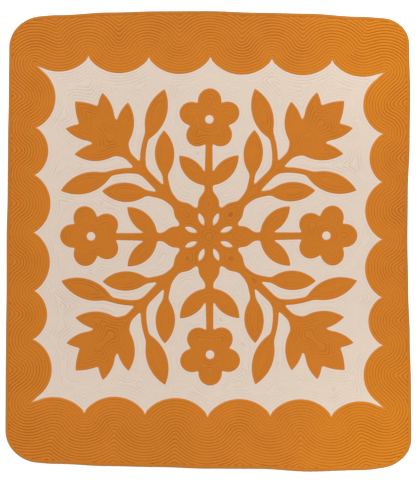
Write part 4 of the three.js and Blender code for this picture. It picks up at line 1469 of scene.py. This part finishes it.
for name, (place, aim, power) in LAMPS.items():
    light = bpy.data.lights.new(name, "AREA")
    light.shape = "SQUARE"
    light.size = LAMP_SIZE
    light.energy = power
    light.color = LAMP_COLOR
    lamp = bpy.data.objects.new(name, light)
    lamp.location = place
    lamp.rotation_euler = (Vector(aim) - Vector(place)).to_track_quat("-Z", "Y").to_euler()
    bpy.context.scene.collection.objects.link(lamp)

window = bpy.data.objects.new("window", bpy.data.lights.new("window", "SUN"))
window.data.energy = WINDOW_STRENGTH
window.data.angle = WINDOW_WIDTH
window.data.color = WINDOW_COLOR
window.rotation_euler = Vector(FROM_WINDOW).to_track_quat("Z", "Y").to_euler()
bpy.context.scene.collection.objects.link(window)
print(len(LAMPS), "lamps and a window")

# %% Floor
FLOOR_HALF = 6
FLOOR_WHITE = 0.9
FLOOR_GLOW = 0.3

floor_corners = [(x * FLOOR_HALF, y * FLOOR_HALF, 0) for x, y in ((-1, -1), (1, -1), (1, 1), (-1, 1))]
floor_mesh = bpy.data.meshes.new("floor")
floor_mesh.from_pydata(floor_corners, [], [(0, 1, 2, 3)])
floor = bpy.data.objects.new("floor", floor_mesh)
bpy.context.scene.collection.objects.link(floor)
floor_paint = bpy.data.materials.new("pale_floor")
floor_paint.use_nodes = True
paint = floor_paint.node_tree.nodes["Principled BSDF"].inputs
paint["Base Color"].default_value = (FLOOR_WHITE, FLOOR_WHITE, FLOOR_WHITE, 1)
paint["Roughness"].default_value = 0.9
paint["Emission Color"].default_value = (1, 1, 1, 1)
paint["Emission Strength"].default_value = FLOOR_GLOW
floor_mesh.materials.append(floor_paint)

# %% Camera
FRAME_HEIGHT = 2.4
CAMERA_DISTANCE = 6.667
SENSOR_HEIGHT = 36
PHOTO_MIDDLE = (10 * MM, 1 * MM)

camera_data = bpy.data.cameras.new("camera")
camera_data.sensor_fit = "VERTICAL"
camera_data.sensor_height = SENSOR_HEIGHT
camera_data.lens = SENSOR_HEIGHT * CAMERA_DISTANCE / FRAME_HEIGHT
camera = bpy.data.objects.new("camera", camera_data)
camera.location = (*(PHOTO_MIDDLE - table_middle), CAMERA_DISTANCE)
bpy.context.scene.collection.objects.link(camera)
bpy.context.scene.camera = camera
bpy.context.scene.view_settings.view_transform = "Standard"

# %% [markdown]
# ## Hang the pieces on the body
#
# The rest hangs every piece on the quilt's one body and hides the imported solids. The quilting and the
# stitches along the edges ride on the same body and stand for no solid.

for piece in (cream_top, back, border, centre, binding, *stitches, *stitches_below):
    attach(piece, "root")
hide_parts("quilted_ground")
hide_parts("quilted_ground")
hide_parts("border_applique")
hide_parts("centre_applique")
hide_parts("edge_binding")
